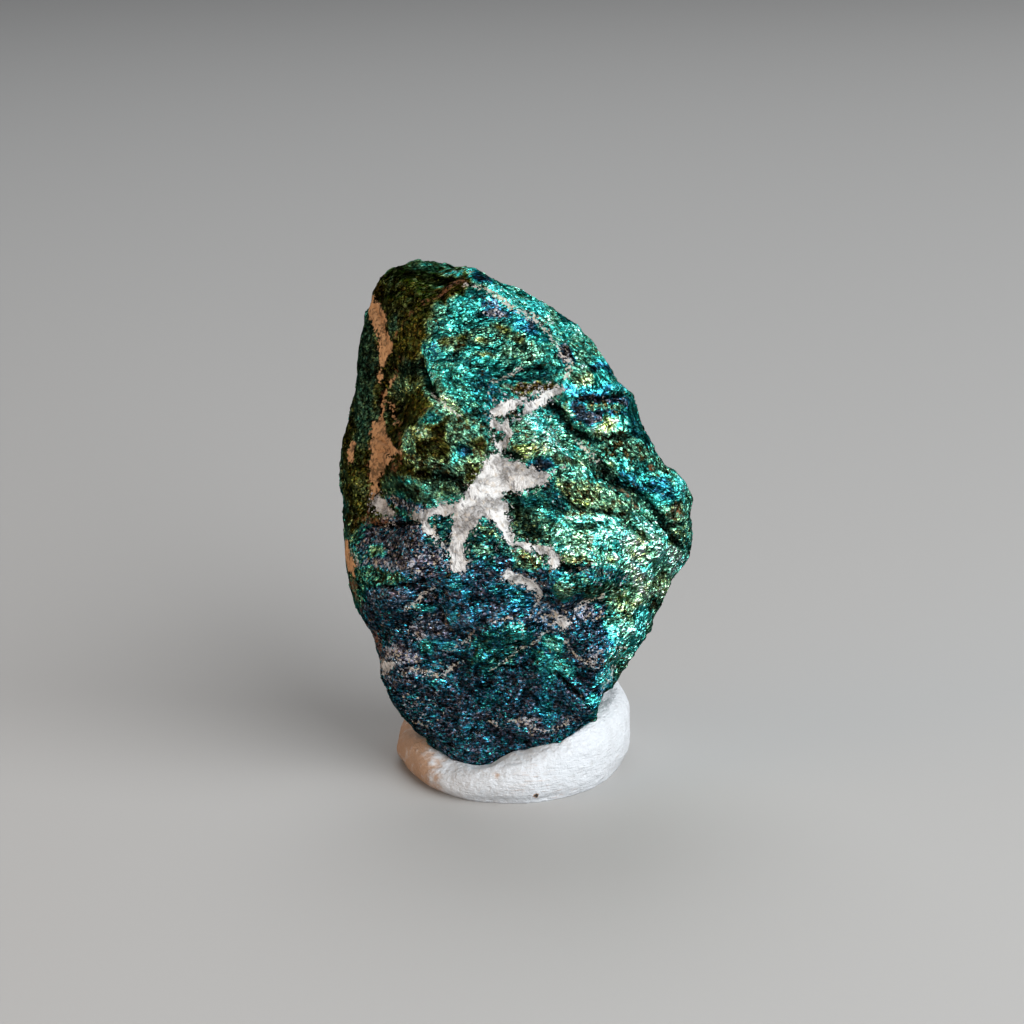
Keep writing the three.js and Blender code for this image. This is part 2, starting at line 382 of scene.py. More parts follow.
# The veins of quartz on the display side: for each one its name, and its route as (right, up, half-width).
QUARTZ = tuple(Streak(name, tuple(route)) for name, *route in (
    ("upper arm", (4.9, 12.1, 0.3), (4.2, 11.8, 0.5), (3, 11.4, 0.7), (2, 10.8, 0.85), (1, 10.5, 1),
        (-0.2, 10.1, 0.9), (-1.2, 10, 0.7), (-2.1, 10.1, 0.2)),
    ("bend", (-0.8, 9.9, 0.8), (-1.2, 8.9, 0.8), (-1, 8, 0.9), (-1, 7.1, 0.7), (-1.3, 6.5, 0.35)),
    ("trunk", (-1.6, 5.3, 0.6), (-1.6, 4.2, 1.3), (-2.1, 2.8, 1.6), (-2.9, 1.4, 1.7), (-4, 0.2, 1.4),
        (-4.9, -1, 1.2), (-5.2, -2.4, 0.85), (-5.4, -3.6, 0.65), (-5.4, -4.7, 0.75), (-5.3, -5.2, 0.8)),
    ("right lobe", (-1.4, 3.5, 1.5), (0.4, 3.5, 1.55), (1.5, 3.3, 1.15), (2.6, 3.3, 0.75),
        (3.7, 3.8, 0.25)),
    ("right leg", (-2.4, 0.8, 1.5), (-1.6, 0.2, 1.2), (-1, -0.8, 0.75), (-0.6, -1.8, 0.5),
        (-0.3, -2.8, 0.4), (0.5, -3.2, 0.35), (1.6, -3.5, 0.35), (2.5, -3.6, 0.35), (3.4, -4, 0.6),
        (4, -4.8, 0.6), (4.3, -5.3, 0.3)),
    ("left arm", (-4, 0.3, 0.9), (-5.6, 0.2, 0.6), (-6.8, 0.1, 0.55), (-7.8, 0.1, 0.4),
        (-8.8, -0.3, 0.35), (-9.6, -0.4, 0.3), (-10, -0.2, 0.15)),
    ("thin branch", (-8.9, -0.6, 0.28), (-8.5, -1.6, 0.28), (-7.8, -2.3, 0.26), (-7.1, -3.1, 0.24),
        (-6.4, -4, 0.22)),
    ("cheek patch", (-13.6, 1.5, 0.25), (-13.2, 0.8, 0.75), (-12.8, 0.4, 0.55), (-12.2, -0.2, 0.35)),
    ("lower vein", (-0.4, -6.4, 0.25), (0.3, -6.9, 0.4), (1.2, -7.2, 0.4), (2.2, -7.7, 0.5),
        (2.7, -8.3, 0.3)),
    ("lower speck", (5.2, -11.2, 0.45), (4.7, -11.9, 0.35)),
    ("low left speck", (-12.9, -16, 0.2), (-12.5, -15.3, 0.45), (-12, -15.2, 0.3)),
))

# Spots of ore inside the veins.
INCLUSIONS = tuple(Streak(name, tuple(route)) for name, *route in (
    ("ore in the upper arm", (1.8, 11.1, 0.3), (2.5, 11.4, 0.45)),
    ("ore in the arm's middle", (0.7, 10.5, 0.2), (1.3, 10.8, 0.35)),
    ("ore in the bend", (-0.4, 9.5, 0.3), (0.4, 9.8, 0.45)),
    ("ore left of the bend", (-1.8, 9.4, 0.2), (-1.2, 9.2, 0.35)),
    ("ore by the bend", (-1.7, 8, 0.4), (-1.2, 7.6, 0.5)),
    ("ore in the right leg", (3.1, -4.6, 0.3), (3.3, -4.5, 0.3)),
))

# Brown stains on the display side: their tan is partly iron stain and partly painted warm light from the
# left.
STAINS = tuple(Streak(name, tuple(route)) for name, *route in (
    ("upper cheek stain", (-14, 21.4, 0.15), (-13.9, 20.4, 0.7), (-13.5, 19.4, 0.75), (-13.2, 18.2, 0.5),
        (-12.9, 17.2, 0.65), (-12.6, 16.2, 0.85), (-12.9, 15.4, 0.5), (-13.2, 14.2, 0.25),
        (-13.3, 13.1, 0.15)),
    ("slit's edge", (-11.5, 13.1, 0.15), (-12.5, 12.1, 0.2), (-12.9, 10.8, 0.2), (-13, 8.9, 0.2)),
    ("small cheek stain", (-12, 10.8, 0.12), (-11.7, 9.8, 0.22), (-11.5, 8.9, 0.22)),
    ("ridge stain", (-13.4, 8.5, 0.7), (-13.3, 7.4, 1), (-13.2, 6.4, 1.15), (-13.2, 5.4, 1),
        (-13.5, 4.4, 0.7), (-13.8, 3.4, 0.5), (-13.7, 2.4, 0.35), (-13.9, 1.2, 0.25)),
    ("ridge stain's arm", (-12.6, 6.5, 0.6), (-11.5, 6.2, 0.3)),
    ("left edge stain", (-15.9, 6.9, 0.15), (-16.1, 6.1, 0.3), (-16.4, 5.2, 0.35)),
    ("low edge stain", (-16.4, -3.2, 0.4), (-16.2, -4.4, 0.5), (-15.8, -5.4, 0.5), (-15.9, -6.2, 0.25)),
))

# Thin pale lines along edges.
PALE_LINES = tuple(Streak(name, tuple(route)) for name, *route in (
    ("crown line", (-4.8, 22.7, 0.15), (-2.7, 22.3, 0.2), (-1.6, 21.7, 0.35), (-0.4, 21.1, 0.4),
        (0.8, 20.3, 0.3), (1.8, 19.6, 0.4), (2.7, 18.8, 0.25), (3.8, 17.8, 0.2), (4.3, 16.6, 0.15),
        (4.8, 15.6, 0.2), (6, 14.8, 0.3), (5.4, 13.6, 0.4)),
    ("panel's pale step", (-2.3, 12.9, 0.12), (-1.2, 13.3, 0.15), (0.4, 14.3, 0.2), (0.8, 14.9, 0.15)),
    ("right speck", (6.6, 7.1, 0.15), (7.1, 6.5, 0.25), (7.8, 5.9, 0.25), (8.7, 5, 0.2)),
    ("swell's edge", (-8.1, 12, 0.15), (-7.4, 11.4, 0.15), (-6, 10.2, 0.2), (-5.2, 9.6, 0.15)),
    ("vein's tail", (2.7, -8.6, 0.35), (2.8, -9.6, 0.25), (2.3, -10.6, 0.2), (2, -11.3, 0.2)),
    ("first arc", (-2.2, -16.3, 0.1), (-0.9, -16.2, 0.15), (0.4, -15.7, 0.15), (1.8, -15.2, 0.15),
        (2.8, -14.6, 0.15), (3.6, -13.4, 0.12), (5, -12.4, 0.12)),
    ("second arc", (-9.9, -15.4, 0.2), (-8.4, -16.1, 0.2), (-7, -16.3, 0.2), (-6.2, -15.6, 0.2),
        (-5.2, -15.1, 0.12)),
    ("third arc", (-1.9, -11.1, 0.15), (-0.6, -11.1, 0.2), (0.4, -11.5, 0.12), (1.2, -12.3, 0.15)),
    ("foot arc", (-2.3, -21.4, 0.12), (-1.1, -21.3, 0.18), (-0.1, -20.8, 0.1), (1.2, -21, 0.2),
        (2.4, -21.9, 0.2), (4, -21.8, 0.15), (5.4, -21.1, 0.15)),
    ("right arc", (5.7, -12.6, 0.12), (5.6, -13.8, 0.15), (6.6, -14.9, 0.15), (8.2, -15.5, 0.3),
        (8.6, -14.2, 0.15), (10, -13.7, 0.12), (11.8, -13.7, 0.1)),
    ("upper right arc", (6.6, -9.9, 0.15), (7.6, -9.1, 0.2), (8.8, -8.7, 0.25), (9, -8.2, 0.15)),
    ("upper left arc", (-10.8, -9.6, 0.2), (-9.8, -9.2, 0.2), (-9, -8.4, 0.2), (-7.8, -7.6, 0.15)),
    ("middle arc", (-6.6, -13.8, 0.2), (-5.4, -13.3, 0.15), (-4.6, -12.8, 0.2), (-3.8, -12, 0.1)),
    ("pad's line", (-10, -20.9, 0.08), (-8.9, -21.1, 0.12), (-8.2, -21.7, 0.12)),
    ("front edge line", (9.4, -17.6, 0.15), (10.2, -16.7, 0.2), (10.7, -15.9, 0.15)),
    ("left corner", (-16, -3.6, 0.12), (-15.5, -4.4, 0.2), (-15.3, -5.3, 0.2)),
))

# Thin rusty lines along edges.
RUST_LINES = tuple(Streak(name, tuple(route)) for name, *route in (
    ("crown rust", (-4.4, 23.2, 0.2), (-5.6, 23.2, 0.3), (-6.6, 22.6, 0.2), (-7.8, 21.5, 0.2),
        (-9.2, 20.6, 0.2), (-10.4, 19.6, 0.25), (-11.2, 18.4, 0.15), (-11.8, 16.9, 0.15)),
    ("ledge rust", (8.6, 2.6, 0.1), (9.4, 2.8, 0.15), (10.4, 2.7, 0.15), (11.2, 2.3, 0.2),
        (11.9, 1.5, 0.25), (12.7, 0.5, 0.2)),
    ("ridge rust", (-10.8, 15.2, 0.15), (-11.6, 13.1, 0.25), (-12.9, 12, 0.25), (-13, 9, 0.35)),
    ("stain's rust", (-14.6, 4.8, 0.2), (-14.4, 3.2, 0.2), (-14.2, 1, 0.2), (-14.3, -0.6, 0.2)),
    ("small stain's rust", (-11.2, 8.8, 0.2), (-11.2, 7.4, 0.15), (-11.4, 5.2, 0.3), (-11.8, 4.2, 0.3)),
    ("left edge rust", (-16.1, -6.9, 0.35), (-15.9, -8.2, 0.3), (-15.2, -9.8, 0.15), (-14.4, -11.3, 0.2),
        (-13.7, -12.4, 0.3), (-13.4, -14, 0.35), (-13.4, -15.9, 0.3)),
    ("left corner rust", (-15.6, -0.8, 0.3), (-14.4, -0.8, 0.3), (-12.4, -0.7, 0.2)),
    ("spine rust", (14, 4.7, 0.25), (14.5, 4.4, 0.3)),
    ("crack's rust", (6.1, 8.5, 0.2), (6.4, 8.3, 0.1)),
    ("field rust", (8.2, -2.4, 0.2), (7.8, -3.4, 0.2)),
    ("corner rust", (16.7, 1, 0.1), (16.9, -0.2, 0.2)),
))

# Cracks, and the feet of ledges. They are cut into the surface, and their metal is darkened as painted shade.
CRACKS = tuple(Streak(name, tuple(route)) for name, *route in (
    ("stain's fold", (-13.9, 7.5, 0.02), (-13.1, 7.2, 0.1), (-12.4, 6.2, 0.1), (-12.2, 5, 0.02)),
    ("stain's lower fold", (-13.6, 5.6, 0.02), (-13.1, 4.6, 0.1), (-13.3, 3.4, 0.02)),
    ("upper stain's fold", (-13.9, 20.6, 0.02), (-13.2, 18.8, 0.1), (-12.6, 17.2, 0.02)),
    ("upper main crack", (3.9, 10.8, 0.15), (4.8, 9.9, 0.45), (5.5, 8.7, 0.4), (6.4, 7.9, 0.3),
        (7.8, 7.3, 0.2), (8.8, 6.9, 0.1)),
    ("middle main crack", (8.9, 4.9, 0.15), (9.7, 3.9, 0.35), (10.6, 3.2, 0.3), (11.6, 2.6, 0.15),
        (12.8, 1.8, 0.15), (13.8, 0.9, 0.2)),
    ("lower main crack", (13.8, 0.8, 0.2), (14.6, -0.2, 0.35), (15.3, -1.3, 0.4), (16.3, -2.6, 0.4),
        (17.1, -3.6, 0.2)),
    ("side crack", (15.3, -1.2, 0.3), (16.4, -1.4, 0.2), (17.4, -1.2, 0.15)),
    ("field's notch", (12.1, -1.2, 0.15), (13, -2.1, 0.25), (13.8, -2.9, 0.1)),
    ("band's foot", (6.6, 11.4, 0.05), (8.4, 11.4, 0.15), (10.2, 11.6, 0.2), (11.8, 12, 0.35)),
    ("hump's foot", (8.2, 7.7, 0.1), (9.6, 7.4, 0.15), (11, 7.3, 0.15), (12.2, 7.7, 0.1)),
    ("panel's left foot", (-9.2, 15.2, 0.1), (-8.9, 13.8, 0.2), (-8.4, 12.6, 0.3), (-7.4, 11.4, 0.2)),
    ("panel's right foot", (0.6, 14.5, 0.1), (2, 14.6, 0.2), (2.9, 14.4, 0.15)),
    ("ledge", (5.6, 1.1, 0.1), (7, 0.3, 0.2), (9, 0.1, 0.15), (11.2, -0.4, 0.1)),
    ("field's upper edge", (5.4, -0.9, 0.1), (6.6, -1.3, 0.15), (8.2, -1.4, 0.2), (9.6, -0.9, 0.1)),
    ("field's lower edge", (4.4, -4.2, 0.15), (5, -5.4, 0.35), (6.2, -5.7, 0.25), (7.8, -5.4, 0.15)),
    ("cheek slit", (-12.8, 12.3, 0.1), (-13.2, 11, 0.25), (-13.2, 9.2, 0.15)),
    ("stain's hollow", (-13.6, 6, 0.1), (-12.9, 6.2, 0.18), (-12.3, 5.9, 0.1)),
    ("left field's top", (-13.8, -1, 0.1), (-12.2, -1.3, 0.25), (-10.4, -1, 0.2), (-9.4, -0.9, 0.1)),
    ("left field's foot", (-14, -7.4, 0.1), (-12, -7.5, 0.15), (-10, -7.4, 0.25), (-8.8, -7, 0.1)),
    ("swell's foot", (-9.4, 3.9, 0.1), (-7.6, 3.4, 0.2), (-5.4, 3.2, 0.2), (-4.6, 1.6, 0.2)),
    ("right lobe's foot", (-0.9, 6, 0.2), (0.2, 5.6, 0.35), (1, 5.3, 0.15)),
    ("foot's crack", (4.9, -17.9, 0.1), (6, -18.7, 0.2), (7.4, -19.3, 0.1)),
    ("front crack", (-1.4, -16.5, 0.1), (0.2, -17.2, 0.12), (1.8, -17.4, 0.08)),
))

# The display side's colours. A later patch lies over an earlier one. Each row gives the name, the middle's
# right and up, the half-width and half-height, the colour, the lustre, the turn, the wear and the threads.
# The lustre is partly the metal's own and partly painted light and shade: high in the patches of painted
# glints and lit rims, low in the painted shade of pits, seams and the feet of ledges.
FRONT_PATCHES = tuple(Patch(name, (x, y), (wide, high), *look) for name, x, y, wide, high, *look in (
    # The cheek on the left, and the crown. The cheek's olive and brown tints are partly painted warm light
    # from the left.
    ("cheek", -13.2, 12, 4, 15, MOSS, 0.21, -4, 0.31),
    ("far cheek", -15, 14.6, 1.2, 6, GREEN, 0.14, -3),
    ("slate", -14.6, 8.4, 0.8, 2.6, GREEN, 0.17, -12),
    ("green", -13, 9.6, 0.7, 1.2, LEAF, 0.24, -10),
    ("slate corner", -13, 21.8, 0.8, 0.9, BRONZE, 0.12),
    ("upper cheek", -10.4, 21.2, 2.6, 2.6, MOSS, 0.2, -30, 0.31),
    ("slate streak", -11.8, 18.4, 0.4, 1.6, GREEN, 0.2, -8),
    ("olive cheek", -10, 17.2, 1.3, 3, OLIVE, 0.38, -12, 0.16),
    ("dark spot", -10, 14.2, 1.1, 0.8, GREEN, 0.07),
    ("green cheek", -10.8, 12, 1.2, 1.4, LEAF, 0.7, 0, 0.31),
    ("bronze cheek", -9.4, 10.6, 1.4, 1.2, OLIVE, 0.42, 0, 0.16),
    ("left ridge", -16.4, 3.8, 0.7, 1.8, MOSS, 0.38, 0, 0.31),
    ("lower cheek", -15.1, 1.6, 0.9, 1.9, MOSS, 0.55, 0, 0.24),
    ("crown", -8, 24, 5, 1, MOSS, 0.05, 0, 0.31),
    ("left glints", -9, 24.7, 1.4, 0.3, GREEN, 0.16, 0, 0.25),
    ("right glints", -5, 24.1, 2.1, 0.3, TURQUOISE, 1.3, -3, 0.24, 0.3),
    ("dark edge", -3, 23.4, 1.2, 0.5, NAVY, 0.12, -10),
    ("bronze", -6, 22.4, 2.2, 0.9, BRONZE, 0.16, 25, 0.25),

    # The turquoise panel below the crown.
    ("panel", -2.4, 16.4, 6.4, 4.6, TURQUOISE, 0.528, 4, 0.32),
    ("upper corner", -4.8, 20, 2.2, 1.6, TURQUOISE, 1.06, -42, 0.2),
    ("dark upper edge", -3.2, 21.6, 1.2, 0.5, TEAL, 0.132, -25, 0.31),
    ("cyan left", -8.1, 15.9, 0.8, 0.8, CYAN, 2.29, 0, 0.24),
    ("mint left", -8, 13.7, 0.9, 1, TURQUOISE, 1.94, 0, 0.24, 0.2),
    ("worn left", -5.6, 17.1, 1.7, 0.8, GREEN, 0.704, 8, 0.5),
    ("worn right", -0.2, 17.8, 2.8, 0.5, MINT, 0.616, -6, 0.45),
    ("first olive mottle", -5, 17.7, 0.9, 0.4, MOSS, 0.44, 10),
    ("second olive mottle", -6.9, 17.1, 0.6, 0.4, OLIVE, 0.44, 20),
    ("third olive mottle", -2.9, 17, 0.8, 0.3, MOSS, 0.396, -10),
    ("fourth olive mottle", -1, 18.4, 0.7, 0.3, OLIVE, 0.396, -12),
    ("fifth olive mottle", 0.8, 17.5, 0.8, 0.3, MOSS, 0.44, -15),
    ("low olive mottle", -2.6, 15.5, 0.9, 0.2, OLIVE, 0.352, -4),
    ("black seam", -4.8, 15.1, 2.2, 0.16, TEAL, 0.106, -8),
    ("upper seam", -3.6, 18.8, 1.9, 0.16, TEAL, 0.123, 14),
    ("mint middle", 0.4, 16, 2.2, 1, MINT, 0.924, 0, 0.34),
    ("cyan right", 2.6, 17.4, 1.3, 0.6, TEAL, 0.572, 0, 0.24),
    ("pale blue spot", -1.9, 20.6, 1.3, 0.45, AZURE, 1.76, -8, 0.16, 0.6),
    ("rose spot", -1.7, 19.8, 1.2, 0.4, ROSE, 0.704, 0, 0.24, 0.9),
    ("blue strip", 0, 20.3, 1, 0.3, CYAN, 1.5, -30, 0.16),
    ("vivid blue spot", 0.9, 18.8, 1, 0.75, CYAN, 1.5, -10, 0.08),
    ("dark of the blue", 1.9, 18.6, 0.4, 0.6, NAVY, 0.264),
    ("bright step", -2.2, 15, 1.6, 0.25, TURQUOISE, 1.06, -2, 0.08),
    ("lower glints", -5.4, 14, 1.3, 0.5, TURQUOISE, 1.14, -10, 0.24),
    ("dark foot", -2.8, 13.4, 2.4, 0.8, TEAL, 0.44, 6, 0.24),
    ("fibrous foot", -4.6, 11.8, 2.6, 1, TURQUOISE, 0.748, -34, 0.16, 0.05),
    ("dark right foot", 1.8, 13.3, 2.2, 1.2, TEAL, 0.2, -6, 0.31),
    ("slate by the vein", -1.5, 11.6, 1.3, 1.1, TEAL, 0.3, -30, 0.16, 0.4),
    ("grit above the vein", 2.2, 12.4, 2.6, 0.5, BRONZE, 0.3, -8, 0.37, 0.9),
    ("lit rim below the panel", -6, 10.5, 2.2, 0.55, LEAF, 1.8, -42, 0.24, 0.3),

    # The strip along the crown, the shoulder, the blue band and the hump below it.
    ("left crown strip", -1.6, 22.6, 1, 0.45, TURQUOISE, 2.1, -15, 0.16),
    ("crown strip", 0.8, 21.3, 2, 0.6, TURQUOISE, 1.57, -28, 0.24),
    ("right crown strip", 2.8, 20.4, 1.5, 0.9, TURQUOISE, 2.1, -42, 0.08),
    ("crown strip's dark end", 4.4, 19.9, 0.5, 0.9, GREEN, 0.3, 20, 0.31),
    ("pale knob", 3.8, 18.9, 0.8, 0.35, GREEN, 2.4, 0, 0.08),
    ("mint beside the line", 4.6, 17.5, 0.5, 0.8, MINT, 1.76, 10, 0.16),
    ("dark shoulder edge", 5.7, 19, 1.3, 0.45, TEAL, 0.18, -30, 0.25),
    ("mint shoulder", 6.3, 17.8, 1.2, 0.6, MINT, 1.93, -25, 0.16),
    ("shoulder's slope", 7.6, 16.2, 1.5, 1.4, MINT, 0.643, -45, 0.37),
    ("rose shoulder", 5.5, 15.9, 0.8, 1, ROSE, 0.12, 10, 0.25, 0.5),
    ("blue dot", 8.7, 15, 0.55, 0.35, CYAN, 1.8, -10, 0),
    ("shoulder's foot", 7.2, 14.7, 0.7, 0.5, MINT, 1.68, 0, 0.24, 0.2),
    ("shoulder's dark foot", 9, 14.4, 0.9, 0.35, NAVY, 0.12, -20),
    ("leaf above the band", 7.1, 13.4, 0.9, 0.6, LEAF, 1.4, 0, 0.37),
    ("teal above the band", 9.2, 13.5, 1.3, 0.6, TURQUOISE, 0.63, -30, 0.31),
    ("blue band", 8.2, 12.3, 2.8, 0.65, CYAN, 1.9, 0, 0.04),
    ("band's bright end", 5.9, 12.6, 0.8, 0.5, CYAN, 1.9, -20, 0),
    ("below the band", 9.7, 10.7, 1.8, 0.9, SLATE, 0.42, -14, 0.34, 0.25),
    ("rose below the band", 7.3, 10.9, 1.2, 0.7, ROSE, 0.25, 12, 0.4, 0.35),
    ("green below the band", 9, 10.6, 2.1, 0.35, GREEN, 0.7, -10, 0.46),
    ("edge below the band", 12, 10.6, 0.6, 1.8, TEAL, 0.25, 5, 0.25),
    ("lime by the crack", 5.8, 10, 0.8, 0.7, LIME, 2.2, -40, 0.24),
    ("slate below the band", 7.7, 9.4, 2, 1, SLATE, 0.38, -20, 0.3, 0.25),
    ("lime hump", 9.3, 8.4, 1.4, 0.85, LIME, 3.13, 15, 0),
    ("turquoise of the hump", 11.4, 8.6, 1, 0.7, TURQUOISE, 1.1, -25, 0.24),
    ("dark right slope", 13, 8.4, 1, 1.8, TEAL, 0.18, 25, 0.24),

    # The swell right of the vein, the knob, the ledges and the pit.
    ("pale swell", 3.4, 7.9, 1.9, 1.6, MINT, 2.05, -20, 0.16, 0.6),
    ("pale blue", 3.2, 8.7, 1.3, 0.6, TURQUOISE, 2.27, -20, 0.08, 0.4),
    ("dark left", 1.2, 8.1, 0.9, 1, MINT, 0.8, 0, 0.43, 0.3),
    ("lime below the swell", 1.4, 6.4, 1.3, 0.55, LIME, 1.01, 0, 0.31),
    ("leaf below the swell", 3.3, 6.6, 1.2, 0.55, LEAF, 1.66, 0, 0.25),
    ("lime by the lobe", 1.4, 5.4, 0.6, 0.3, LIME, 3),
    ("turquoise below the swell", 5.1, 6.5, 1.6, 0.6, MINT, 2.2, -6, 0.24),
    ("right", 6, 7.4, 1, 0.5, MINT, 0.95, -30, 0.25),
    ("slate by the lobe", 3.5, 4.7, 1.8, 0.75, SLATE, 0.17, 0, 0.25),
    ("dark by the lobe", 5.2, 5.2, 1.5, 0.5, LEAF, 0.2, -4, 0.37, 0.2),
    ("pale by the lobe", 5.2, 3.7, 1.5, 0.8, MINT, 0.8, -10, 0.24, 0.5),
    ("knob", 7.5, 4.3, 0.9, 1, MINT, 2.5, 0, 0.16),
    ("knob's lime", 7.4, 4.9, 0.6, 0.4, LEAF, 3.2),
    ("below the knob", 8.6, 3.5, 1.3, 0.5, TURQUOISE, 2, -10, 0.43),
    ("lime", 4.8, 2.4, 0.6, 0.7, LIME, 2.6, 0, 0.31),
    ("ledges", 8, 1.6, 2.8, 1.2, LEAF, 0.55, -14, 0.46),
    ("mint", 9.8, 2, 1.3, 0.6, GREEN, 1.4, -10, 0.31),
    ("pale spot", 7.9, 0.8, 0.6, 0.25, LIME, 1.8),
    ("pale end", 11.4, 0.9, 0.5, 0.35, GREEN, 2, -30),
    ("lower ledge", 8.6, -0.5, 3.8, 0.6, GREEN, 0.276, -4, 0.56),
    ("slate ledge", 4.5, 1, 1.2, 1.2, TEAL, 0.15, -30, 0.22, 0.2),
    ("dark lobe's foot", 3.6, 2.2, 0.8, 0.9, TEAL, 0.12, 0, 0.37),
    ("dark pit", 1.6, -0.8, 2.5, 2.1, GREEN, 0.11, -36, 0.1),
    ("pit's glints", 3.1, -0.3, 0.5, 1, MINT, 1.1, 25, 0.35),
    ("green of the pit", 1.4, 1.3, 1.4, 0.5, TEAL, 0.2, -10, 0.25),

    # The spine on the right.
    ("upper spine", 11.6, 6.2, 2.4, 1.3, MINT, 0.538, -36, 0.5),
    ("pale spot", 10.6, 4.9, 0.9, 0.4, TURQUOISE, 1.32, -15, 0.08),
    ("lime spot", 9.7, 4.7, 0.4, 0.3, LIME, 1.24),
    ("middle spine", 13, 4.6, 1.8, 0.5, TURQUOISE, 0.331, -30, 0.43),
    ("navy", 12.2, 3, 1.7, 0.55, AZURE, 0.621, -42, 0.24),
    ("blue", 14.7, 2.5, 2, 1.1, CYAN, 0.994, -42, 0.28),
    ("step", 13.6, 3.7, 1.5, 0.25, TEAL, 0.828, -8, 0.08),
    ("turquoise", 14.5, 0.9, 1.3, 0.6, TURQUOISE, 1.16, -40, 0.24),
    ("nub", 16.9, 2.4, 0.7, 1.1, TURQUOISE, 2.39, 10, 0.08),
    ("below the nub", 16.4, -0.2, 1.1, 0.9, GREEN, 1.1, 0, 0.5, 0.2),
    ("navy corner", 16.7, -2.4, 0.9, 0.9, GREEN, 0.6),

    # The front's ground.
    ("front", -3, -14, 13, 9, NAVY, 0.68, -8, 0.24, 0.15),
    ("lower front", -3, -20.5, 10.5, 6.5, NAVY, 0.5, 0, 0.2, 0.1),
    ("left field", -11, -3.2, 4.4, 2.4, SLATE, 0.5, -8, 0.25, 0.4),

    # The mint field, the lumps beside it and the right edge.
    ("mint field", 10.6, -3.7, 6.4, 2.9, MINT, 2.53, -20, 0.2),
    ("upper left tongue", 4.1, -0.3, 1.5, 0.4, TURQUOISE, 0.99, -25, 0.16),
    ("turquoise left", 4.9, -2.8, 1.1, 1, MINT, 2.86, 0, 0.08),
    ("worn left", 7, -2.6, 1.1, 1.4, GREEN, 1.32, 0, 0.37),
    ("cyan heart", 10.4, -3.4, 1.1, 1.5, MINT, 2.86, 0, 0.08),
    ("turquoise top", 13.4, -0.7, 1.2, 1, MINT, 2.53, -45, 0.16),
    ("leaf heart", 12.6, -3.4, 1.2, 1.4, LEAF, 2.53, -30, 0.16),
    ("cyan right", 16.3, -4.2, 0.8, 0.7, GREEN, 2.9, -30, 0.08),
    ("lime foot", 12.6, -7, 0.9, 1.8, LEAF, 3.2, 40, 0.08),
    ("lime spot", 9.9, -4.7, 0.5, 0.3, LIME, 2.8),
    ("lime left", 6.4, -4.9, 1.6, 0.6, LIME, 1.4, -8, 0.53),
    ("dark foot", 8.7, -6.3, 2.9, 0.9, TEAL, 0.34, -8, 0.25, 0.5),
    ("blue foot", 4.4, -6, 1.2, 0.5, CYAN, 1, -30, 0.31),
    ("green foot", 5.2, -8, 1, 1, GREEN, 1.2, 0, 0.37),
    ("right foot", 14.8, -7.4, 1.2, 1.1, LEAF, 1.7, 40, 0.37),
    ("lumps", 1.4, -4.9, 1.5, 1.2, GREEN, 0.7, 0, 0.5),
    ("glint of the lumps", 1.6, -5.8, 0.4, 0.3, MINT, 1.6),
    ("edge's mint", 11.6, -9.2, 2, 1, LEAF, 1.5, -20, 0.31),
    ("edge's turquoise", 13, -10.9, 0.9, 1.3, TURQUOISE, 3.2, -10, 0.16),
    ("low turquoise", 10.3, -12.1, 1.3, 1.2, TURQUOISE, 3.2, -20, 0.16),
    ("low leaf", 11.6, -12, 0.5, 1.2, MINT, 3.2, 30, 0.24),
    ("low edge", 10.2, -14.7, 1.4, 1, TURQUOISE, 2.76, 30, 0.43),
    ("edge's lower turquoise", 13, -13.2, 1, 1.6, TURQUOISE, 1.8, -30, 0.35),
    ("lowest edge", 9.5, -16.6, 0.6, 1.2, TEAL, 2.94, -35, 0.25, 0.4),
    ("glint by the pad", 8.5, -19, 0.8, 0.35, TURQUOISE, 2.4, 30, 0.08),

    # The swell left of the vein, and its foot.
    ("swell", -7, 6, 4.2, 3.6, OLIVE, 0.12, 0, 0.24),
    ("teal top", -8.3, 9.2, 1.2, 0.5, TEAL, 0.45, 10),
    ("left glints", -9.2, 8, 1.1, 0.6, LEAF, 1.3, -20, 0.37),
    ("far glints", -10.5, 6.4, 0.5, 1.5, GREEN, 1.2, 0, 0.37),
    ("lower glints", -8, 4.9, 2.8, 0.6, LEAF, 0.46, -6, 0.53),
    ("right glints", -5.2, 7.2, 0.9, 2.6, GREEN, 0.35, 12, 0.4),
    ("glints by the vein", -3.5, 8.8, 0.9, 1.2, MINT, 0.368, 0, 0.43),
    ("teal by the vein", -2.7, 9.5, 0.6, 0.8, TEAL, 0.6, 0, 0.22, 0.3),
    ("yellow glints", -3.6, 5.4, 0.8, 1.4, LEAF, 0.46, 20, 0.5),
    ("bright glints", -5.6, 5.6, 0.7, 0.9, TURQUOISE, 0.55, 10, 0.25),
    ("navy spot", -4.8, 6.2, 0.6, 0.5, NAVY, 0.12),
    ("blue dot", -4.8, 6, 0.2, 0.2, AZURE, 2.2),
    ("black foot", -6, 3, 2, 1.5, GREEN, 0.22, -30, 0.4),
    ("glints by the arm", -7.4, 1.7, 0.5, 0.8, GREEN, 1.9, 0, 0.24),
    ("teal left foot", -10.2, 2.3, 2.4, 1.4, GREEN, 0.14, -6, 0.35),
    ("left foot's glints", -8.9, 2.2, 0.6, 0.7, MINT, 0.9, 20, 0.35),
    ("left foot's upper glints", -10.6, 3.2, 0.9, 0.3, TURQUOISE, 0.7, -8, 0.35),
    ("left foot's lower glints", -11.2, 1.6, 0.6, 0.35, TEAL, 0.8, 0, 0.3),
    ("slate left foot", -12.3, 2.6, 0.7, 1.2, GREEN, 0.45),
    ("grit above the arm", -10.8, 0.7, 2.2, 0.5, SLATE, 1.2, -12, 0.25, 1.1),

    # The left field, the lower front and the foot.
    ("rose of the left field", -8.8, -3.6, 1.8, 1.3, SLATE, 0.36, -30, 0.25, 0.7),
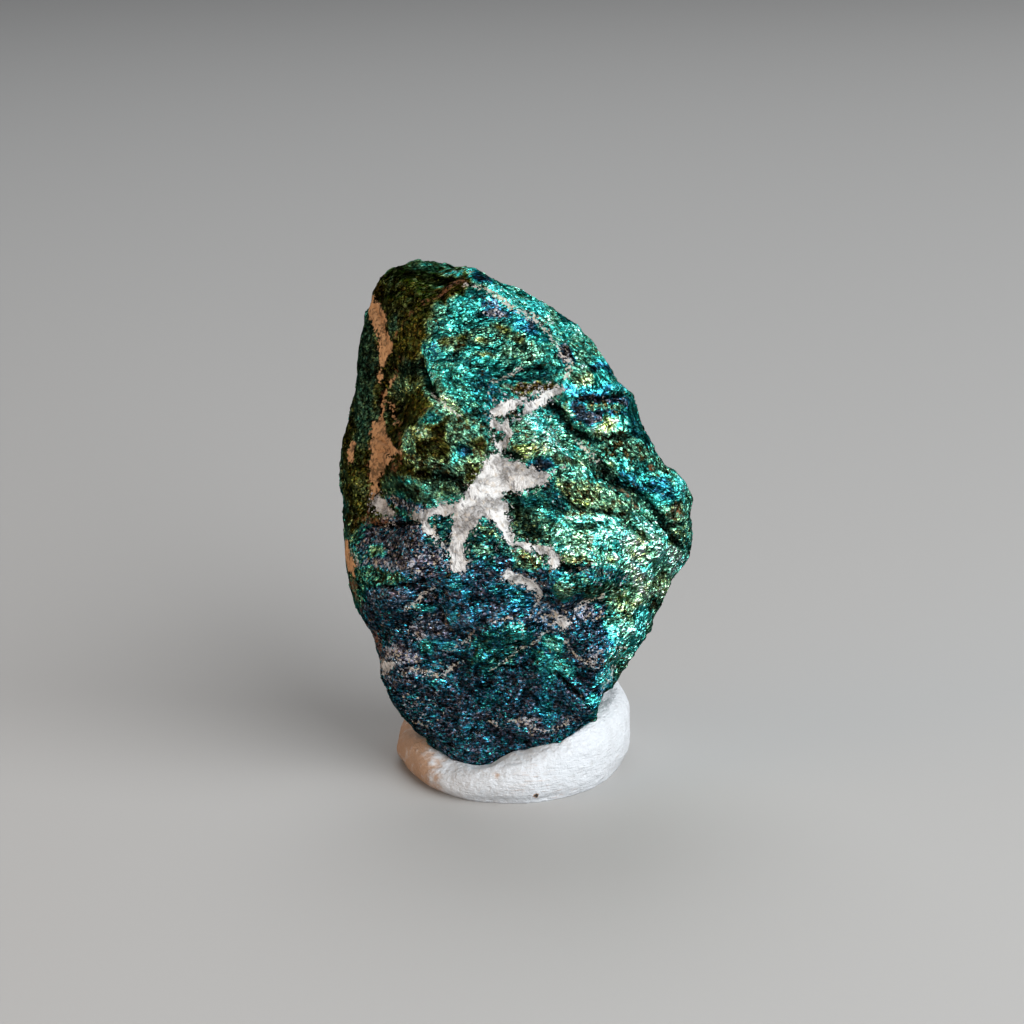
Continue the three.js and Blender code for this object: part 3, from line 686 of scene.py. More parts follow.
    ("green of the left field", -13.5, -3.9, 0.8, 0.7, LEAF, 1.1, 0, 0.31),
    ("grit of the left field", -12, -5.4, 2.8, 0.6, SLATE, 1.2, -8, 0.25, 1.8),
    ("grit right of it", -8.8, -4.9, 2.2, 0.5, ROSE, 0.8, -8, 0.24, 1.4),
    ("green below the left field", -12.3, -6.8, 1.9, 0.6, MINT, 0.9, 0, 0.53),
    ("triangle", -7.1, -1.9, 1.1, 1.5, TEAL, 0.15, -30),
    ("bay", -2.7, -3.2, 2, 2, TEAL, 0.15, -30, 0.12, 0.2),
    ("bay's glints", -3, -3.8, 1.1, 0.6, GREEN, 1.2, -20, 0.25),
    ("bay's upper glints", -2.2, -2.2, 1.3, 0.4, GREEN, 0.45, -30, 0.37),
    ("slate left front", -12.6, -8.8, 2.2, 1.2, NAVY, 1.1, 0, 0.24, 0.2),
    ("blue strip", -5.6, -7.1, 1.7, 0.7, CYAN, 1.3, -25, 0.4),
    ("blue tail of the strip", -4.6, -8.4, 0.4, 0.9, CYAN, 1.6, 0, 0.31),
    ("blue by the lower vein", 0, -8.2, 2.4, 0.6, CYAN, 1, -14, 0.31),
    ("bright blue spot", 1, -9.9, 1.1, 0.7, AZURE, 1.4, 0, 0.25),
    ("small blue spot", -1.1, -10.5, 0.5, 0.3, CYAN, 3),
    ("indigo right of it", 3.7, -11.2, 1.3, 1.3, NAVY, 1.6, 0, 0.24, 1.8),
    ("navy right front", 7.6, -12.4, 1.7, 1.6, NAVY, 0.45, 0, 0.24),
    ("grit of the right front", 8, -10.1, 1.4, 0.8, SLATE, 0.88, 10, 0.25, 0.9),
    ("grit near the edge", 8.3, -14.8, 0.9, 1, SLATE, 0.8, 0, 0.25, 1),
    ("ring", -7.2, -11.2, 1.7, 1.5, SLATE, 1, 0, 0.3, 0.4),
    ("ring's glints", -5.9, -10.2, 0.5, 1, CYAN, 2, 25, 0.31, 0.2),
    ("ring's upper glints", -8.8, -9.4, 1.3, 0.35, TURQUOISE, 1.2, -10, 0.31, 0.4),
    ("ring's lower glints", -6.6, -13.1, 1.4, 0.5, CYAN, 2.2, 0, 0.25),
    ("ring's left glints", -8.6, -13.5, 0.5, 0.8, TURQUOISE, 1.6, 0, 0.31, 0.3),
    ("ring's blue", -5.4, -14, 0.7, 0.5, AZURE, 3, 0, 0.25),
    ("blue beside the ring", -4.4, -10.8, 0.6, 0.9, AZURE, 2, 0, 0.16),
    ("grit beside the ring", -9.3, -12.2, 0.8, 0.5, ROSE, 1.2, -20, 0.24, 2.5),
    ("grit of the left corner", -11, -14.3, 1.9, 0.9, ROSE, 0.8, -20, 0.24, 2),
    ("rose left corner", -10.4, -16.2, 1.8, 0.9, SLATE, 0.48, 0, 0.24, 0.7),
    ("indigo of the corner", -8.2, -15.4, 1.4, 0.5, AZURE, 1, 0, 0.24, 0.5),
    ("lower indigo", -7.8, -17, 1.4, 0.5, AZURE, 0.9, -8, 0.24, 0.5),
    ("green front", -1, -14.2, 3.2, 2.4, TEAL, 0.56, 0, 0.31, 0.1),
    ("bright of the green front", 0.6, -13.2, 0.9, 1.3, TURQUOISE, 1.7, 20, 0.31, 0.4),
    ("right green front", 4.4, -14.3, 1.2, 0.8, TURQUOISE, 1.6, 0, 0.25),
    ("lower green front", 4.6, -16.8, 2.6, 1.6, TEAL, 0.85, 0, 0.31),
    ("glints of the lower green", 5.3, -17.2, 1.1, 0.9, TURQUOISE, 2.2, -20, 0.43),
    ("dark by the edge", 7.6, -17.2, 0.9, 1.4, NAVY, 0.31, 0, 0.25),
    ("lower blue", -2.6, -18.8, 1.7, 0.7, AZURE, 0.45, 0, 0.24),
    ("black below the green", -3.4, -17.6, 1.6, 0.4, NAVY, 0.15),
    ("navy corner", -9, -19.4, 2.4, 1.4, NAVY, 0.5, -30, 0.24, 0.4),
    ("teal spike", 3.4, -20, 0.8, 1.2, CYAN, 1, -10, 0.24),
    ("grit near the foot", 1.9, -21.3, 1.3, 0.8, SLATE, 0.6, -20, 0.24, 0.7),
    ("rose near the foot", 5.6, -20.8, 1.4, 0.5, SLATE, 0.5, 25, 0.24, 0.5),
    ("foot", -1, -23.6, 3.6, 1.2, NAVY, 0.42, 8, 0.24),
    ("foot's eye", -1.4, -22, 1.3, 0.6, SLATE, 0.4, 0, 0.25),
    ("foot's glint", -4.5, -21.6, 0.25, 0.2, TURQUOISE, 3),
))

# The marks on the side away from the viewer, in the same style.
BACK_QUARTZ = tuple(Streak(name, tuple(route)) for name, *route in (
    ("back vein", (-11, 15, 0.3), (-7.6, 12.8, 0.8), (-4.4, 11.6, 0.5), (-1.4, 9, 1), (1.2, 7.6, 1.6),
        (4, 7.2, 0.9), (6.4, 4.6, 0.5), (9.2, 3.6, 0.3)),
    ("back vein's branch", (1.4, 7.4, 1.2), (0.6, 4.6, 0.7), (1.6, 1.4, 0.5), (0.4, -2.6, 0.35),
        (1.6, -6.2, 0.2)),
    ("lower back vein", (-9.4, -9.6, 0.2), (-6.2, -11.2, 0.6), (-3.4, -11.6, 0.35), (-1.2, -13.4, 0.5),
        (0.6, -14, 0.2)),
))

BACK_STAINS = tuple(Streak(name, tuple(route)) for name, *route in (
    ("back stain", (11.4, 14.6, 0.5), (12.6, 11.8, 1.1), (12, 8.6, 0.8), (12.8, 5.6, 0.4)),
    ("low back stain", (7.4, -12, 0.4), (9, -14, 0.8), (8.4, -16.6, 0.4)),
))

BACK_CRACKS = tuple(Streak(name, tuple(route)) for name, *route in (
    ("back crack", (-12, 2.6, 0.1), (-8, 3.8, 0.3), (-4.2, 1.8, 0.3), (-1.6, 0.6, 0.1)),
    ("back ledge", (2.6, 17.8, 0.1), (5.4, 14.2, 0.3), (8.4, 12, 0.3), (10, 8.4, 0.1)),
    ("heel ledge", (-6, -6.6, 0.1), (-1.4, -7.6, 0.3), (3.6, -9.4, 0.3), (7.6, -8.6, 0.1)),
))

BACK_PATCHES = tuple(Patch(name, (x, y), (wide, high), *look) for name, x, y, wide, high, *look in (
    ("back violet", -6, 6, 6.4, 5, NAVY, 0.6, 20, 0.3, 0.2),
    ("back turquoise", 4, 16.6, 6.4, 4.4, TURQUOISE, 1.1, -24, 0.4),
    ("back olive", 8.6, 0.6, 4.4, 5.4, MOSS, 0.4, 12, 0.3),
    ("back dark heel", 0, -17, 9, 5.6, NAVY, 0.4, 0, 0.25, 0.15),
))


def scattered_patches(count: int, seed: int) -> tuple[Patch, ...]:
    """Scatters small patches over the side away from the viewer, in each part's colours.

    Args:
        count: How many patches there are.
        seed: Fixes where they lie.

    Returns:
        The patches.
    """
    upper = (TURQUOISE, MINT, GREEN, TEAL, CYAN)
    outer = (OLIVE, MOSS, LEAF, GREEN, LIME)
    inner = (NAVY, AZURE, TEAL, SLATE, TURQUOISE)
    chance = np.random.default_rng(seed)
    patches = []
    for index in range(count):
        at = (float(chance.uniform(-15.0, 15.0)), float(chance.uniform(-21.0, 22.0)))
        colours = upper if at[1] > 9.0 else outer if at[0] > 4.0 else inner
        size = float(chance.uniform(0.5, 2.0))
        tarnish = colours[chance.integers(len(colours))]
        lustre_and_light = 0.1 + float(chance.uniform(0.1, 1.3) ** 2)
        turn = float(chance.uniform(-60.0, 60.0))
        worn = float(chance.uniform(0.1, 0.5))
        threads = float(chance.uniform(0.0, 0.4))
        reach = (1.5 * size, 0.7 * size)
        patches.append(Patch(f"scattered {index}", at, reach, tarnish, lustre_and_light, turn, worn, threads))
    return tuple(patches)


# The chunk's outline on the map, clockwise from its left end.
OUTLINE: Route = (
    (-16.2, 9.5), (-15.6, 13), (-15.4, 17), (-14.9, 19.7), (-13.6, 22.6), (-12.5, 24.1), (-11, 24.7),
    (-9, 25.1), (-7, 24.9), (-4, 24.6), (-2.3, 23.8), (-1, 22.9), (1, 22.1), (3.4, 21), (4.5, 20.1),
    (5.5, 19.2), (7, 18.4), (7.7, 17.3), (9, 15.8), (9.9, 14.2), (11, 12.4), (12.1, 11.7), (12.8, 8.9),
    (13.8, 7.1), (14.3, 5.9), (15.5, 4.9), (16.3, 3.7), (17.6, 3.1), (17.8, 1), (17.8, -1.5), (17.7, -4.5),
    (16.2, -6.2), (14.9, -8.9), (14, -11), (13.2, -12.8), (12, -14.4), (10.2, -17.2), (9.1, -19.1),
    (6.6, -20.8), (3.8, -22.6), (0, -24.4), (-4, -25.7), (-6, -24.8), (-8.2, -23.1), (-10, -21.6),
    (-11.6, -19.6), (-12.9, -17.5), (-13.4, -15.5), (-13.6, -13.2), (-14.4, -11.2), (-15.6, -9.3),
    (-16.2, -7.2), (-16.6, -4), (-16.7, 0), (-17.1, 2.3), (-17.1, 4.5), (-16.8, 7.6),
)


@dataclass(frozen=True)
class Flow:
    """A region of the display side where the wrinkles run one way.

    Attributes:
        name: What it is.
        at: Its middle on the map.
        reach: Its half-width and half-height.
        turn: The way that the wrinkles run, in degrees anticlockwise from level.
        height: How high they stand.
    """

    name: str
    at: Pair
    reach: Pair
    turn: float
    height: float

    def cover(self, places: Array, outer: float, inner: float) -> Array:
        """Tells how much of each place it covers: none from outer times its reach on, all within inner."""
        return ramp(np.linalg.norm((places - np.array(self.at)) / np.array(self.reach), axis=1), outer, inner)


FLOWS = (
    Flow("panel", (-2.0, 17.0), (6.5, 4.2), 8.0, 0.1),
    Flow("panel's foot", (-4.5, 11.6), (4.5, 2.2), -36.0, 0.14),
    Flow("shoulder", (7.0, 15.5), (3.6, 4.5), -42.0, 0.16),
    Flow("swell", (-7.0, 5.6), (4.2, 3.8), -22.0, 0.12),
    Flow("spine", (12.8, 5.0), (5.4, 4.2), -40.0, 0.2),
    Flow("ledges", (8.0, 1.0), (4.6, 2.2), -16.0, 0.2),
    Flow("cheek", (-14.0, 11.0), (3.0, 14.0), 84.0, 0.1),
)


# ---- Shader building ----


class Shading:
    """A material's node tree, built by short calls."""

    def __init__(self, tree: Tree) -> None:
        """Starts on an empty tree.

        Args:
            tree: The material's or the group's tree.
        """
        self.tree = tree
        self.tree.nodes.clear()

    def node(self, kind: str, inputs: dict[str | int, object] | None = None, **settings: object) -> Node:
        """Adds a node.

        Args:
            kind: Its type's name.
            inputs: A socket to feed it from or a plain value, for each named or numbered input.
            settings: Its own settings.

        Returns:
            The new node.
        """
        made = self.tree.nodes.new(kind)
        for name, value in settings.items():
            setattr(made, name, value)
        for name, value in (inputs or {}).items():
            if isinstance(value, Socket):
                self.tree.links.new(value, made.inputs[name])
            else:
                made.inputs[name].default_value = value
        return made

    def maths(self, operation: str, first: object, second: object = 0.0, third: object = 0.0,
              clamp: bool = False) -> Socket:
        """Adds a Math node and gives its result."""
        given = {0: first, 1: second, 2: third}
        return self.node("ShaderNodeMath", given, operation=operation, use_clamp=clamp).outputs[0]

    def plus(self, first: object, second: object) -> Socket:
        """Adds two numbers."""
        return self.maths("ADD", first, second)

    def times(self, first: object, second: object) -> Socket:
        """Multiplies two numbers."""
        return self.maths("MULTIPLY", first, second)

    def larger(self, first: object, second: object) -> Socket:
        """Gives the larger of two numbers."""
        return self.maths("MAXIMUM", first, second)

    def linear(self, value: object, slope: object, start: object) -> Socket:
        """Multiplies a number by a slope and adds a start to it."""
        return self.maths("MULTIPLY_ADD", value, slope, start)

    def from_half(self, value: object) -> Socket:
        """Tells how far a number is from one half, whichever way."""
        return self.maths("ABSOLUTE", self.maths("SUBTRACT", value, 0.5))

    def vector(self, operation: str, first: object, second: object) -> Socket:
        """Adds a Vector Math node and gives its vector."""
        return self.node("ShaderNodeVectorMath", {0: first, 1: second}, operation=operation).outputs[0]

    def scaled(self, vector: object, factor: object) -> Socket:
        """Scales a vector."""
        return self.node("ShaderNodeVectorMath", {0: vector, "Scale": factor}, operation="SCALE").outputs[0]

    def span(self, value: object, low: float, high: float, to_low: float = 0.0,
             to_high: float = 1.0) -> Socket:
        """Maps a value from one range smoothly to another, held at its ends."""
        made = self.node("ShaderNodeMapRange", {"Value": value, "From Min": low, "From Max": high,
                                                "To Min": to_low, "To Max": to_high},
                         interpolation_type="SMOOTHSTEP")
        return made.outputs[0]

    def mix(self, share: object, first: object, second: object) -> Socket:
        """Mixes two colours."""
        made = self.node("ShaderNodeMix", data_type="RGBA", blend_type="MIX")
        for socket, value in ((made.inputs[0], share), (made.inputs[6], first), (made.inputs[7], second)):
            if isinstance(value, Socket):
                self.tree.links.new(value, socket)
            else:
                socket.default_value = value if isinstance(value, float) else (*value, 1.0)[:4]
        return made.outputs[2]

    def blend(self, share: object, first: object, second: object) -> Socket:
        """Mixes two numbers."""
        return self.node("ShaderNodeMix", {0: share, 2: first, 3: second}, data_type="FLOAT").outputs[0]

    def attribute(self, name: str) -> Socket:
        """Reads a number that the mesh holds at each point."""
        return self.node("ShaderNodeAttribute", attribute_type="GEOMETRY", attribute_name=name).outputs["Fac"]

    def noise(self, place: object, size: float, detail: float = 2.0, roughness: float = 0.5) -> Node:
        """Adds a noise texture with lumps of a size."""
        return self.node("ShaderNodeTexNoise", {"Vector": place, "Scale": 1.0 / (size * MM), "Detail": detail,
                                                "Roughness": roughness})

    def cloud(self, place: object, size: float, detail: float, roughness: float) -> Socket:
        """Adds a noise texture and gives its strength, from about 0 to 1."""
        return self.noise(place, size, detail, roughness).outputs["Fac"]

    def cells(self, place: object, size: float, feature: str = "F1") -> Node:
        """Adds a cell texture with cells of a size."""
        given = {"Vector": place, "Scale": 1.0 / (size * MM)}
        return self.node("ShaderNodeTexVoronoi", given, feature=feature)

    def turned(self, place: object, turn: float, stretch: Triple) -> Socket:
        """Turns places so that a pattern runs one way across the display side, and stretches them.

        Args:
            place: The place on the object.
            turn: The way that the pattern runs, in radians anticlockwise from level.
            stretch: What each axis is multiplied by: under 1 draws the pattern out along it.

        Returns:
            The new place.
        """
        stood_up = self.node("ShaderNodeMapping", {"Vector": place, "Rotation": (VIEW.tilt, 0.0, 0.0)})
        drawn = self.node("ShaderNodeMapping", {"Vector": stood_up.outputs[0], "Rotation": (0.0, turn, 0.0)})
        return self.vector("MULTIPLY", drawn.outputs[0], stretch)

    def object_place(self) -> Socket:
        """Gives the place on the object, in metres."""
        return self.node("ShaderNodeTexCoord").outputs["Object"]


@dataclass(frozen=True)
class CrinkleGroup:
    """The shader group that folds a surface like crumpled foil, shared by the ore and its grains.

    Attributes:
        label: The group's name.
        folds: Size and height of each set of folds, from the largest to the smallest.
        facet: Size of the small flat facets, each with a tilt, a colour and a painted glint of its own.
        tilt: How steeply the facets may lean.
        bend: Size of the waves that the facets' edges follow, and how far they stray.
    """

    label: str = "Crumpled metal"
    folds: tuple[Pair, ...] = ((1.15, 0.34), (0.50, 0.17), (0.23, 0.06))
    facet: float = 0.34
    tilt: float = 0.9
    bend: Pair = (0.5, 0.9)

    def build(self) -> Tree:
        """Builds the group once.

        Returns:
            Its tree, with the input Place, and the outputs Broad and Fine, heights in millimetres, Random,
            Spark, a painted glint for each facet, and Crease, painted shade along the folds.
        """
        tree = bpy.data.node_groups.new(self.label, "ShaderNodeTree")
        tree.interface.new_socket("Place", in_out="INPUT", socket_type="NodeSocketVector")
        for name in ("Broad", "Fine", "Random", "Spark", "Crease"):
            tree.interface.new_socket(name, in_out="OUTPUT", socket_type="NodeSocketFloat")
        shade = Shading(tree)
        place = shade.node("NodeGroupInput").outputs[0]
        heights = []
        crease = 1.0
        for size, rise in self.folds:
            fold = shade.from_half(shade.cloud(place, size, 1.0, 0.5))
            heights.append(shade.times(fold, 2.0 * rise))
            # Painted shade: the colour darkens along each fold's line.
            crease = shade.times(crease, shade.span(fold, 0.0, 0.05, 0.2, 1.0))
        broad = shade.plus(heights[0], heights[1])
        middle = (0.5, 0.5, 0.5)
        wave, stray = self.bend
        waves = shade.vector("SUBTRACT", shade.noise(place, wave, 1.0).outputs["Color"], middle)
        bent = shade.vector("ADD", place, shade.scaled(waves, stray * MM))
        facets = shade.cells(bent, self.facet)
        split = shade.node("ShaderNodeSeparateColor", {"Color": facets.outputs["Color"]})
        lean = shade.scaled(shade.vector("SUBTRACT", facets.outputs["Color"], middle), self.tilt / MM)
        from_middle = shade.vector("SUBTRACT", bent, facets.outputs["Position"])
        plane = shade.node("ShaderNodeVectorMath", {0: from_middle, 1: lean}, operation="DOT_PRODUCT")
        fine = shade.plus(heights[2], plane.outputs["Value"])
        random, _, spark = split.outputs
        shade.node("NodeGroupOutput", {0: broad, 1: fine, 2: random, 3: spark, 4: crease})
        return tree


@dataclass(frozen=True)
class OreFinish:
    """The ore: tarnished metal, white quartz in its veins, brown stains, pale threads, and painted shade in
    its crevices.

    Attributes:
        name: The material's name.
        film_colours: The metal's colour at each film thickness.
        worn_brown: The metal's colour where the film is worn through.
        quartz_white: The quartz's colour.
        quartz_grey: Its darker fibres.
        quartz_seam: The seams between its grains.
        quartz_tan: Its yellowed patches.
        stain_and_warm_light: The stains' colour: partly iron stain, partly painted warm light from the left.
        thread_pale: The pale threads' colour.
        thread_cream: The colour of the yellowed ones.
        rust: The rusty lines' colour.
        edge_tint: The metal's tint where it is seen at a slant.
        brightest: The brightest that the metal gets.
        grain: Size of the single grains on the dull parts, each with a painted glint of its own.
        fold_turns: The two ways that the folds run across the display side, in radians from level.
        fibre_turns: The three ways that the quartz's fibres run.
    """

    name: str = "tarnished ore"
    film_colours: tuple[tuple[float, Colour], ...] = (
        (0.00, (0.30, 0.18, 0.07)),
        (0.08, (0.27, 0.20, 0.05)),
        (0.15, (0.21, 0.21, 0.035)),
        (0.21, (0.18, 0.26, 0.07)),
        (0.27, (0.50, 0.63, 0.24)),
        (0.34, (0.34, 0.62, 0.32)),
        (0.42, (0.22, 0.54, 0.34)),
        (0.50, (0.23, 0.71, 0.47)),
        (0.55, (0.11, 0.66, 0.52)),
        (0.61, (0.05, 0.61, 0.53)),
        (0.68, (0.06, 0.39, 0.37)),
        (0.75, (0.03, 0.36, 0.50)),
        (0.80, (0.04, 0.25, 0.45)),
        (0.86, (0.08, 0.15, 0.22)),
        (0.93, (0.14, 0.18, 0.25)),
        (1.00, (0.20, 0.18, 0.25)),
    )
    worn_brown: Colour = (0.11, 0.085, 0.03)
    quartz_white: Colour = (0.56, 0.545, 0.53)
    quartz_grey: Colour = (0.16, 0.15, 0.15)
    quartz_seam: Colour = (0.15, 0.125, 0.10)
    quartz_tan: Colour = (0.46, 0.39, 0.32)
    stain_and_warm_light: Colour = (0.47, 0.255, 0.12)
    thread_pale: Colour = (0.46, 0.46, 0.50)
    thread_cream: Colour = (0.46, 0.37, 0.27)
    rust: Colour = (0.20, 0.075, 0.03)
    edge_tint: Colour = (0.12, 0.3, 0.27)
    brightest: float = 0.95
    grain: float = 0.19
    fold_turns: Pair = (0.14, -0.66)
    fibre_turns: Triple = (0.5, -0.9, 1.5)

    def make(self, crinkles: Tree) -> bpy.types.Material:
        """Makes the material.

        Args:
            crinkles: The shared group of folds.

        Returns:
            The material.
        """
        material = bpy.data.materials.new(self.name)
        material.use_nodes = True
        OreShading(material.node_tree, self, crinkles).dress()
        return material

    def fill_ramp(self, colours: bpy.types.ColorRamp) -> None:
        """Sets the film's colours on a ramp."""
        while len(colours.elements) > 1:
            colours.elements.remove(colours.elements[-1])
        colours.elements[0].position = self.film_colours[0][0]
        colours.elements[0].color = (*self.film_colours[0][1], 1.0)
        for position, colour in self.film_colours[1:]:
            colours.elements.new(position).color = (*colour, 1.0)


class OreShading(Shading):
    """The ore's node tree: the patterns that its layers share, and a method for each layer."""

    def __init__(self, tree: Tree, finish: OreFinish, crinkles: Tree) -> None:
        """Starts the tree with what several layers read.

        Args:
            tree: The material's tree.
            finish: The ore's colours and sizes.
            crinkles: The shared group of folds.
        """
        super().__init__(tree)
        self.finish = finish
        self.place = self.object_place()
        level, slanted = (self._crumple(crinkles, turn) for turn in finish.fold_turns)
        flow = self.attribute("flow")
        self.broad, self.fine, self.crease = (self.blend(flow, level.outputs[name], slanted.outputs[name])
                                              for name in ("Broad", "Fine", "Crease"))
        self.random = level.outputs["Random"]
        self.spark = level.outputs["Spark"]
        grains = self.cells(self.place, finish.grain).outputs["Color"]
        self.tone, self.hue, self.chance = self.node("ShaderNodeSeparateColor", {"Color": grains}).outputs
        self.grit = self.cloud(self.place, 0.34, 3.0, 0.65)
        self.speckle = self.cloud(self.place, 0.5, 3.0, 0.6)
        self.patchy = self.cloud(self.place, 1.1, 3.0, 0.6)
        self.milky = self.cloud(self.place, 1.6, 2.0, 0.5)
        self.lustre_and_light = self.attribute("lustre_and_light")
        self.dusky = self.times(self.span(self.lustre_and_light, 1.3, 0.6), self.attribute("grainy"))
        self.quartz, self.stain, self.rusty, self.line = self._marks()
        self.fibres = self._fibres()
        self.seams = self._seams()

    def dress(self) -> None:
        """Lays the layers over each other, from the metal to the quartz, and closes the tree."""
        thread = self._threads()
        colour = self.mix(self.times(self.rusty, 0.75), self._metal(), self.finish.rust)
        cream = self.larger(self.span(self.patchy, 0.46, 0.56), self.times(self.line, 0.6))
        pale = self.mix(cream, self.finish.thread_pale, self.finish.thread_cream)
        colour = self.mix(self.times(thread, 0.85), colour, pale)
        colour = self.mix(self.stain, colour, self._brown())
        colour = self.mix(self.quartz, colour, self._vein())

        thick = self.larger(self.quartz, self.stain)
        thin = self.larger(self.times(thread, 0.9), self.times(self.rusty, 0.6))
        bare = self.maths("SUBTRACT", 1.0, self.maths("MAXIMUM", thick, thin, clamp=True))
        rough = self.plus(self.linear(self.random, 0.16, 0.22), self.span(self.lustre_and_light, 0.6, 0.1, 0.0, 0.1))
        rough = self.blend(bare, 0.72, rough)
        bump = self.node("ShaderNodeBump", {"Strength": 1.0, "Distance": MM, "Height": self._relief(bare)})
        surface = self.node("ShaderNodeBsdfPrincipled", {
            "Base Color": colour, "Metallic": bare, "Roughness": rough, "Normal": bump.outputs[0],
            "Specular Tint": (*self.finish.edge_tint, 1.0)})
        self.node("ShaderNodeOutputMaterial", {"Surface": surface.outputs[0]})

    def _crumple(self, crinkles: Tree, turn: float) -> Node:
        """Adds the folds, drawn out along one way across the display side."""
        node = self.node("ShaderNodeGroup", node_tree=crinkles)
        self.tree.links.new(self.turned(self.place, turn, (0.62, 1.0, 1.1)), node.inputs[0])
        return node

    def _metal(self) -> Socket:
        """Gives the metal's colour: its film's, worn to brown in places, by how brightly it shines with
        painted glints and shade.
        """
        film = self.plus(self.attribute("film"), self.linear(self.patchy, 0.36, -0.18))
        film = self.plus(film, self.linear(self.random, 0.14, -0.07))
        film = self.maths("ADD", film, self.times(self.dusky, self.linear(self.hue, 0.3, -0.17)), clamp=True)
        colours = self.node("ShaderNodeValToRGB", {"Fac": film})
        self.finish.fill_ramp(colours.color_ramp)
        worn = self.linear(self.attribute("worn"), 0.5, self.cloud(self.place, 0.55, 4.0, 0.62))
        worn = self.span(worn, 0.70, 0.82)
        metal = self.mix(worn, colours.outputs["Color"], self.finish.worn_brown)
        # The lustre, with its painted light and shade, and painted glints from the grit.
        shine = self.times(self.lustre_and_light, self.span(self.grit, 0.40, 0.58, 0.58, 1.76))
        # Painted shade along the creases of the folds.
        shine = self.times(shine, self.crease)
        # Painted glint: each facet's own brightness.
        shine = self.times(shine, self.span(self.spark, 0.0, 1.0, 0.5, 1.4))
        # Painted glints: each single grain's own brightness, on the dusky parts.
        grains = self.linear(self.times(self.tone, self.tone), 2.0, 0.42)
        shine = self.times(shine, self.blend(self.dusky, 1.0, grains))
        # Painted shade: darker in hollows, brighter on crests.
        shine = self.times(shine, self.span(self.attribute("hollow"), -1.7, 0.5, 0.24, 1.13))
        return self.vector("MINIMUM", self.scaled(metal, shine), (self.finish.brightest,) * 3)

    def _marks(self) -> tuple[Socket, ...]:
        """Finds where the marks are, with ragged edges.

        Returns:
            How much of each place is quartz, stain, rusty line and pale line, from 0 to 1.
        """
        ragged = self.plus(self.linear(self.grit, 1.2, -0.6), self.linear(self.patchy, 1.5, -0.75))
        quartz = self.span(self.plus(self.attribute("quartz"), ragged), -0.03, 0.05)
        stain = self.span(self.plus(self.attribute("stain"), ragged), -0.03, 0.08)
        rusty = self.span(self.plus(self.attribute("rusty"), ragged), 0.0, 0.2)
        rusty = self.times(rusty, self.span(self.tone, 0.3, 0.55, 0.15, 1.0))
        line = self.span(self.plus(self.attribute("line"), self.linear(self.grit, 1.6, -0.81)), 0.0, 0.05)
        line = self.times(line, self.span(self.tone, 0.4, 0.45, 0.08, 1.0))
        return quartz, stain, rusty, line

    def _threads(self) -> Socket:
        """Finds where the pale threads, lines and dust are, from 0 to 1."""
        thickly = self.attribute("pale")
        thread = self.from_half(self.cloud(self.place, 1.3, 6.0, 0.68))
        thread = self.span(self.maths("DIVIDE", thread, self.larger(thickly, 0.01)), 0.05, 0.015)
        thread = self.times(thread, self.span(self.speckle, 0.47, 0.57))
        thread = self.larger(thread, self.times(self.line, 0.9))
        dust = self.linear(thickly, self.times(self.speckle, 0.38), self.chance)
        return self.larger(thread, self.span(dust, 1.0, 1.02, 0.0, 0.9))

    def _fibres(self) -> Socket:
        """Makes the quartz's fibres, from 0 to 1: sheaves of them run in three ways."""
        sheaf = self.noise(self.place, 2.2, 1.0).outputs["Fac"]
        first, second, third = (self.cloud(self.turned(self.place, turn, (0.22, 1.0, 1.0)), 0.3, 3.0, 0.6)
                                for turn in self.finish.fibre_turns)
        fibres = self.blend(self.span(sheaf, 0.42, 0.47), first, second)
        return self.blend(self.span(sheaf, 0.53, 0.58), fibres, third)

    def _seams(self) -> Socket:
        """Finds the seams between the quartz's grains, from 0 to 1, fainter where it is milky."""
        uneven = self.scaled(self.noise(self.place, 0.7, 4.0, 0.7).outputs["Color"], 2.2 * MM)
        grains = self.cells(self.vector("ADD", self.place, uneven), 0.95, "DISTANCE_TO_EDGE")
        seams = self.span(grains.outputs["Distance"], 0.13, 0.02)
        return self.times(seams, self.span(self.milky, 0.56, 0.40))

    def _vein(self) -> Socket:
        """Gives the quartz's colour: white, with grey fibres and seams and a few yellowed patches."""
        white, grey = self.finish.quartz_white, self.finish.quartz_grey
        # Grey clouds and grey patches of fibres: partly the quartz's own grey, partly painted shade.
        vein = self.mix(self.span(self.milky, 0.54, 0.40, 0.0, 0.5), white, grey)
        greyed = self.times(self.span(self.fibres, 0.52, 0.34), self.span(self.patchy, 0.38, 0.56, 0.3, 0.9))
        vein = self.mix(greyed, vein, grey)
        vein = self.mix(self.times(self.seams, 0.45), vein, self.finish.quartz_seam)
        return self.mix(self.span(self.speckle, 0.54, 0.66, 0.0, 0.6), vein, self.finish.quartz_tan)

    def _brown(self) -> Socket:
        """Gives the stains' colour, with painted shade: a darker brown where the grit and the milky cloud are
        low.
        """
        shaded = self.plus(self.grit, self.linear(self.milky, 0.7, -0.35))
        dark = tuple(0.35 * part for part in self.finish.stain_and_warm_light)
        return self.mix(self.span(shaded, 0.34, 0.56), dark, self.finish.stain_and_warm_light)

    def _relief(self, bare: Socket) -> Socket:
        """Gives the fine relief's height in millimetres, lower where the metal isn't bare."""
        relief = self.plus(self.times(self.broad, self.blend(self.dusky, 1.0, 0.6)), self.fine)
        relief = self.times(relief, self.times(self.linear(bare, 0.86, 0.14), self.attribute("steep")))
        relief = self.linear(self.grit, self.linear(self.quartz, 0.10, 0.05), relief)
        relief = self.linear(self.fibres, self.times(self.quartz, 0.2), relief)
        relief = self.linear(self.seams, self.times(self.quartz, -0.07), relief)
        return self.linear(self.milky, self.times(self.stain, 0.9), relief)


